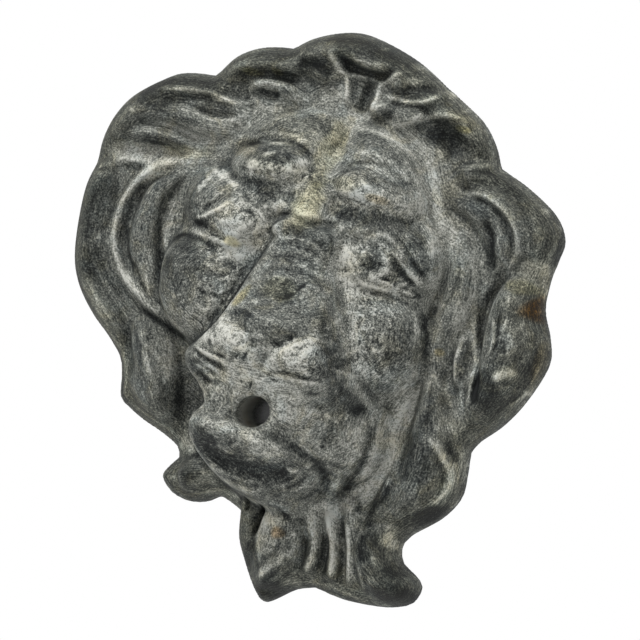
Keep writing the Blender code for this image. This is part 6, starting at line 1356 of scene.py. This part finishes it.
def oval_bar(name, width, height, front, back):
    """An oval bar square to the wall, turned like the hole, between two distances from the wall."""
    body = bmesh.new()
    bmesh.ops.create_cone(body, cap_ends=True, segments=HOLE_SIDES, radius1=0.5, radius2=0.5,
                          depth=front - back)
    for ring in HOLE_RINGS:
        bmesh.ops.bisect_plane(body, geom=body.verts[:] + body.edges[:] + body.faces[:],
                               plane_co=(0, 0, ring - (front + back) / 2), plane_no=(0, 0, 1))
    mesh = bpy.data.meshes.new(name)
    body.to_mesh(mesh)
    body.free()
    bar = link(mesh, name)
    bar.scale = (width, height, 1)
    bar.rotation_euler = (math.radians(90), math.radians(-HOLE_TURN), 0)
    bar.location = (SPOUT_HOLE[0], -(front + back) / 2, SPOUT_HOLE[1])
    return bar


def sample(sheet, field, x, z):
    """The field's value at points between the grid's own."""
    i = np.clip((x - sheet.xs[0]) / sheet.pitch, 0, len(sheet.xs) - 1.001)
    j = np.clip((z - sheet.zs[0]) / sheet.pitch, 0, len(sheet.zs) - 1.001)
    a, b = i % 1, j % 1
    i, j = i.astype(int), j.astype(int)
    low = field[j, i] * (1 - a) + field[j, i + 1] * a
    high = field[j + 1, i] * (1 - a) + field[j + 1, i + 1] * a
    return low * (1 - b) + high * b


def lip_of_hole(sheet, part):
    """The worn, rounded edge of the hole."""
    X, Z = sheet.X - SPOUT_HOLE[0], sheet.Z - SPOUT_HOLE[1]
    q = np.sqrt(oval(X, Z, HOLE_WIDTH / part / 2, HOLE_HEIGHT / part / 2, HOLE_TURN, 2))
    away = (q - 1) * HOLE_WIDTH / part / 2
    sheet.height -= 0.55 * np.exp(-(np.clip(away, 0, None) / 0.45) ** 2)


def relief_marks(sheet):
    """How far the surface stands above its surroundings, wide, narrow and fine.

    The wide measure is turned over on the head, as painted shade that darkens its recesses and leaves what
    stands proud paler, while the mane is dark where it stands proud."""
    body = np.maximum(sheet.height, 7.5)
    broad = body - soften(body, WIDE / sheet.pitch)
    w, _, _, inside = region(sheet, HEAD_FOOT, 6)
    # on the head the wide measure becomes painted shade in the recesses
    broad[w] *= 1 - 1.35 * np.clip(inside / 3 + 0.3, 0, 1)
    narrow = body - soften(body, NARROW / sheet.pitch)
    fine = body - soften(body, FINE / sheet.pitch)
    return broad, narrow, fine


def finished_front(part):
    """The carved front with its marks and roughness, and how far it stands above its surroundings."""
    sheet = carve(FRONT_PITCH)
    sheet.grain, sheet.yellow, sheet.rust = (np.zeros_like(sheet.X) for _ in range(3))
    sheet.tone *= CARVED_TONE
    comb(sheet)
    finish_marks(sheet)
    stands = relief_marks(sheet)
    roughen(sheet)
    lip_of_hole(sheet, part)
    return sheet, stands


def closed_mesh(sheet, part):
    """The front closed at the wall's plane, hollowed, and bored through the muzzle and its sleeve."""
    inside = carve(HOLLOW_PITCH)
    depth = np.maximum(hollow_height(inside, part), -2)
    wall, end = WALL / part, SLEEVE_END / part
    front = block("front", sheet, sheet.height, BACK)
    cuts = [
        (wall_cutter(), "DIFFERENCE"),
        (block("hollow", inside, depth, 2 * BACK), "DIFFERENCE"),
        (oval_bar("sleeve", HOLE_WIDTH / part + 2 * wall, HOLE_HEIGHT / part + 2 * wall,
                  HOLLOW_DEPTH / part + wall, end), "UNION"),
        (oval_bar("hole", HOLE_WIDTH / part, HOLE_HEIGHT / part, 100, -100), "DIFFERENCE"),
    ]
    for other, operation in cuts:
        combine(front, other, operation)
    bpy.context.view_layer.update()
    ready = front.evaluated_get(bpy.context.evaluated_depsgraph_get())
    mesh = bpy.data.meshes.new_from_object(ready)
    for used in [front] + [other for other, _ in cuts]:
        bpy.data.objects.remove(used)
    mesh.name = "lion_casting"
    return mesh


def casting(part, top):
    """The whole casting as one closed mesh in metres, with what the finish needs stored on its points."""
    sheet, (broad, narrow, fine) = finished_front(part)
    mesh = closed_mesh(sheet, part)
    place = np.empty(3 * len(mesh.vertices))
    mesh.vertices.foreach_get("co", place)
    place = place.reshape(-1, 3)
    x, z, out = place[:, 0], place[:, 2], -place[:, 1]
    outer = out > sample(sheet, sheet.height, x, z) - SKIN
    hole_x, hole_z = SPOUT_HOLE
    bore = oval(x - hole_x, z - hole_z, HOLE_WIDTH / part, HOLE_HEIGHT / part, HOLE_TURN, 2) < 0.3
    # the palest marks are held back, the hollow is plain and dull, and the hole's wall is painted pale
    # halfway in, as painted light against the shade inside the hole, and dark at its lip
    marked = sample(sheet, sheet.tone, x, z)
    marked = np.clip(marked, DARKEST, PALE_START + 0.5 * np.clip(marked - PALE_START, 0, PALE_RANGE))
    bore_painted_light = np.clip(np.minimum(2 * out - 29, 12.5 - 0.45 * out), -3, 3)
    store(mesh, "tone", np.where(outer, marked, np.where(bore, bore_painted_light, HOLLOW_TONE)))
    for name, field, limit in (("broad", broad, 2.4), ("narrow", narrow, 2), ("fine", fine, 1)):
        store(mesh, name, np.where(outer, np.clip(sample(sheet, field, x, z), -limit, limit), 0))
    # stains fade down the side of the rim and stay off the back
    stained = np.clip(out / 6, 0, 1) * outer
    store(mesh, "yellow", sample(sheet, sheet.yellow, x, z) * stained)
    store(mesh, "rust", sample(sheet, sheet.rust, x, z) * stained)
    store(mesh, "grain", sample(sheet, sheet.grain, x, z) * outer)
    store(mesh, "across", sample(sheet, sheet.across, x, z))
    # the casting fills the box of the solid exactly
    place = np.column_stack([x, -out, z - top]) * part
    low, high = place.min(0), place.max(0)
    want_low, want_high = np.array(CAD_LOW), np.array(CAD_HIGH)
    place = want_low + (place - low) / (high - low) * (want_high - want_low)
    mesh.vertices.foreach_set("co", place.ravel())
    mesh.update()
    mesh.shade_smooth()
    return link(mesh, "lion_casting")


def store(mesh, name, values):
    attribute = mesh.attributes.new(name, "FLOAT", "POINT")
    attribute.data.foreach_set("value", values.astype(np.float32))


class Nodes:
    """Short ways to make and join shader nodes."""

    def __init__(self, tree):
        self.tree = tree

    def add(self, kind, **values):
        node = self.tree.nodes.new("ShaderNode" + kind)
        for name, value in values.items():
            setattr(node, name, value)
        return node

    def feed(self, source, socket):
        if isinstance(source, (int, float, tuple)):
            socket.default_value = source
        else:
            self.tree.links.new(source, socket)

    def math(self, operation, a, b=0.0, clamp=False):
        node = self.add("Math", operation=operation, use_clamp=clamp)
        self.feed(a, node.inputs[0])
        self.feed(b, node.inputs[1])
        return node.outputs[0]

    def noise(self, place, scale, detail=4.0, rough=0.5, twist=0.0):
        node = self.add("TexNoise")
        self.feed(place, node.inputs["Vector"])
        node.inputs["Scale"].default_value = scale
        node.inputs["Detail"].default_value = detail
        node.inputs["Roughness"].default_value = rough
        node.inputs["Distortion"].default_value = twist
        return node.outputs["Fac"]

    def stretch(self, value, low, high, to_low=0.0, to_high=1.0):
        node = self.add("MapRange")
        self.feed(value, node.inputs["Value"])
        names = ("From Min", "From Max", "To Min", "To Max")
        for name, number in zip(names, (low, high, to_low, to_high)):
            node.inputs[name].default_value = number
        return node.outputs["Result"]

    def total(self, terms, start=0.0):
        """The start and the sum of values times their shares."""
        out = start
        for value, share in terms:
            node = self.add("Math", operation="MULTIPLY_ADD")
            self.feed(value, node.inputs[0])
            node.inputs[1].default_value = share
            self.feed(out, node.inputs[2])
            out = node.outputs[0]
        return out

    def crossing(self, value, width):
        """One along the line where the value is a half, none away from it."""
        away = self.math("ABSOLUTE", self.math("SUBTRACT", value, 0.5))
        return self.stretch(away, width, 0.0)

    def vector(self, operation, a, b):
        node = self.add("VectorMath", operation=operation)
        self.feed(a, node.inputs[0])
        self.feed(b, node.inputs[1])
        return node.outputs[0]

    def scale(self, place, factor):
        return self.vector("MULTIPLY", place, (factor, factor, factor))

    def shift(self, place, far):
        return self.vector("ADD", place, (far, far, far))

    def join(self, x, y):
        """A place from the offset across a lock and a slow wandering along it."""
        node = self.add("CombineXYZ")
        self.feed(x, node.inputs[0])
        self.feed(self.math("MULTIPLY", y, WANDER), node.inputs[1])
        return node.outputs[0]

    def tint(self, colour, amount, tint):
        """The colour multiplied by a tint, by the amount."""
        node = self.add("MixRGB", blend_type="MULTIPLY")
        self.feed(amount, node.inputs["Fac"])
        self.feed(colour, node.inputs["Color1"])
        node.inputs["Color2"].default_value = (*tint, 1.0)
        return node.outputs["Color"]

    def attribute(self, name):
        return self.add("Attribute", attribute_name=name).outputs["Fac"]

    def ramp(self, value, stops):
        node = self.add("ValToRGB")
        self.feed(value, node.inputs["Fac"])
        line = node.color_ramp
        while len(line.elements) < len(stops):
            line.elements.new(0.5)
        for element, (at, colour) in zip(line.elements, stops):
            element.position = at
            element.color = (*colour, 1.0)
        return node.outputs["Color"]


def old_lead():
    """Dull lead: on the mane dark where it stands proud, with pale oxide in the hollows; on the head
    painted shade in the recesses; fine ridges paler and fine grooves darker; crackle on the face.
    """
    material = bpy.data.materials.new("old_lead")
    material.use_nodes = True
    n = Nodes(material.node_tree)
    shader = material.node_tree.nodes["Principled BSDF"]
    place = n.scale(n.add("TexCoord").outputs["Object"], STEPS_IN_METRE)

    grain = n.attribute("grain")
    combed = n.noise(n.join(n.attribute("across"), n.noise(place, 0.16, 2)), 3.2, 3, 0.75)
    cloudy = n.noise(place, 0.17, 5, 0.6, 0.8)
    mottle = n.noise(place, 0.7, 4, 0.65, 0.9)
    speck = n.noise(place, 2.4, 3, 0.7, 0.5)
    grit = n.noise(place, 3.3, 1, 0.5)
    # thin crooked lines where a noise crosses its middle, pale ones and dark ones
    pale_line = n.crossing(n.noise(place, 0.85, 2, 0.5, 1.1), 0.045)
    pale_thread = n.crossing(n.noise(n.shift(place, 9.0), 1.9, 1, 0.5, 0.9), 0.055)
    dark_line = n.crossing(n.noise(n.shift(place, 17.0), 1.15, 2, 0.5, 0.9), 0.045)
    pits = n.stretch(n.noise(n.shift(place, 40.0), 1.6, 2, 0.5, 0.3), 0.42, 0.33)

    # how pale the lead is: what the carving gives, with its painted shade in the head's recesses, then the
    # noises about their middle
    carved = [(n.attribute(name), share) for name, share in
              (("broad", -0.055), ("narrow", 0.03), ("fine", 0.35), ("tone", 0.29))]
    noises = [(n.stretch(noise, 0.3, 0.7, -1, 1), share) for noise, share in
              ((combed, 0.27), (cloudy, 0.06), (mottle, 0.03), (speck, 0.07), (grit, 0.20))]
    level = n.total(carved + noises, 0.46)
    marks = n.total([(pale_line, 0.24), (pale_thread, 0.30), (dark_line, -0.24), (pits, -0.26)])
    level = n.math("ADD", level, n.math("MULTIPLY", marks, n.stretch(grain, 0, 1, 0.15, 1.0)))
    warmth = n.noise(n.shift(place, 60.0), 0.22, 4, 0.6, 0.8)
    colour = n.ramp(level, LEAD_COLOURS)
    colour = n.tint(colour, n.stretch(cloudy, 0.5, 0.72, 0, 0.6), COOL_TINT)
    colour = n.tint(colour, n.stretch(warmth, 0.5, 0.75, 0, 0.7), WARM_TINT)
    colour = n.tint(colour, n.math("MULTIPLY", n.attribute("yellow"), 0.75, clamp=True), YELLOW_TINT)
    colour = n.tint(colour, n.math("MULTIPLY", n.attribute("rust"), 0.85, clamp=True), RUST_TINT)
    n.feed(colour, shader.inputs["Base Color"])
    n.feed(n.stretch(level, 0.1, 0.8, 0.6, 0.85), shader.inputs["Roughness"])
    shader.inputs["Metallic"].default_value = 0.0
    shader.inputs["Specular IOR Level"].default_value = 0.06
    bump = n.add("Bump")
    bump.inputs["Strength"].default_value = 0.5
    bump.inputs["Distance"].default_value = 0.0008
    relief = n.total([(mottle, 0.3), (speck, 0.4), (combed, 0.6), (grit, 0.2), (pale_line, 0.25),
                      (pits, -0.5)])
    n.feed(relief, bump.inputs["Height"])
    n.feed(bump.outputs["Normal"], shader.inputs["Normal"])
    return material


def plain(name, colour, rough):
    material = bpy.data.materials.new(name)
    material.use_nodes = True
    shader = material.node_tree.nodes["Principled BSDF"]
    shader.inputs["Base Color"].default_value = (*colour, 1.0)
    shader.inputs["Roughness"].default_value = rough
    return material


def stage():
    """A plain pale floor well below the mask."""
    bpy.ops.mesh.primitive_plane_add(size=FLOOR_SIZE, location=(0, 0, FLOOR_LEVEL))
    floor = bpy.context.object
    floor.name = "floor"
    floor.data.materials.append(plain("pale_floor", (0.8, 0.8, 0.8), 0.9))


def lights():
    """A white studio: even light all round, with a broad soft lamp above and to the left."""
    world = bpy.data.worlds.new("studio")
    bpy.context.scene.world = world
    world.use_nodes = True
    background = world.node_tree.nodes["Background"]
    background.inputs["Color"].default_value = (1, 1, 1, 1)
    background.inputs["Strength"].default_value = 1.0
    lamp = bpy.data.lights.new("key", "AREA")
    lamp.energy = LAMP_POWER
    lamp.size = LAMP_SIZE
    holder = bpy.data.objects.new("key", lamp)
    bpy.context.scene.collection.objects.link(holder)
    holder.location = LAMP_PLACE
    aim(holder, LAMP_TARGET, 0)


def aim(holder, target, roll):
    """Turns a lamp or a camera to look at the target, rolled by so many degrees."""
    away = mathutils.Vector(target) - mathutils.Vector(holder.location)
    turn = away.to_track_quat("-Z", "Y") @ mathutils.Quaternion((0, 0, 1), math.radians(roll))
    holder.rotation_euler = turn.to_euler()


def camera(part, top):
    """The photograph's camera, through a long lens."""
    pixels_per_metre = PIXELS_PER_PART / part
    distance = LENS / SENSOR * IMAGE_SIZE / pixels_per_metre
    view = bpy.data.cameras.new("camera")
    view.lens = LENS
    view.sensor_width = SENSOR
    view.clip_end = 100
    holder = bpy.data.objects.new("camera", view)
    bpy.context.scene.collection.objects.link(holder)
    bpy.context.scene.camera = holder
    right, up, roll = (math.radians(a) for a in (VIEW_RIGHT, VIEW_UP, VIEW_ROLL))
    towards = np.array([math.sin(right) * math.cos(up), -math.cos(right) * math.cos(up), math.sin(up)])
    across = np.array([math.cos(right), math.sin(right), 0])
    upward = np.cross(across, -towards)
    # the roll turns the picture's own axes
    picture_across = across * math.cos(roll) + upward * math.sin(roll)
    picture_up = upward * math.cos(roll) - across * math.sin(roll)
    middle = np.array([0, 0, -top * part])
    shift_x = (IMAGE_SIZE / 2 - MIDDLE_PIXEL[0]) / pixels_per_metre
    shift_y = (IMAGE_SIZE / 2 - MIDDLE_PIXEL[1]) / pixels_per_metre
    target = middle + picture_across * shift_x - picture_up * shift_y
    holder.location = target + towards * distance
    aim(holder, target, VIEW_ROLL)


def main():
    part, top = frame_height(outline())
    bpy.context.scene.view_settings.view_transform = "Standard"
    piece = casting(part, top)
    piece.data.materials.clear()
    piece.data.materials.append(old_lead())
    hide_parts("lion_mask")
    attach(piece, "root")
    stage()
    lights()
    camera(part, top)


def frame_height(loop):
    """The metres in a hundredth of the mask's height, and where the origin is up the carving."""
    part = HEIGHT / (loop[:, 1].max() - loop[:, 1].min())
    middle = loop[np.abs(loop[:, 0]) < 1.5]
    return part, middle[:, 1].max() - RIM / part / 2


main()
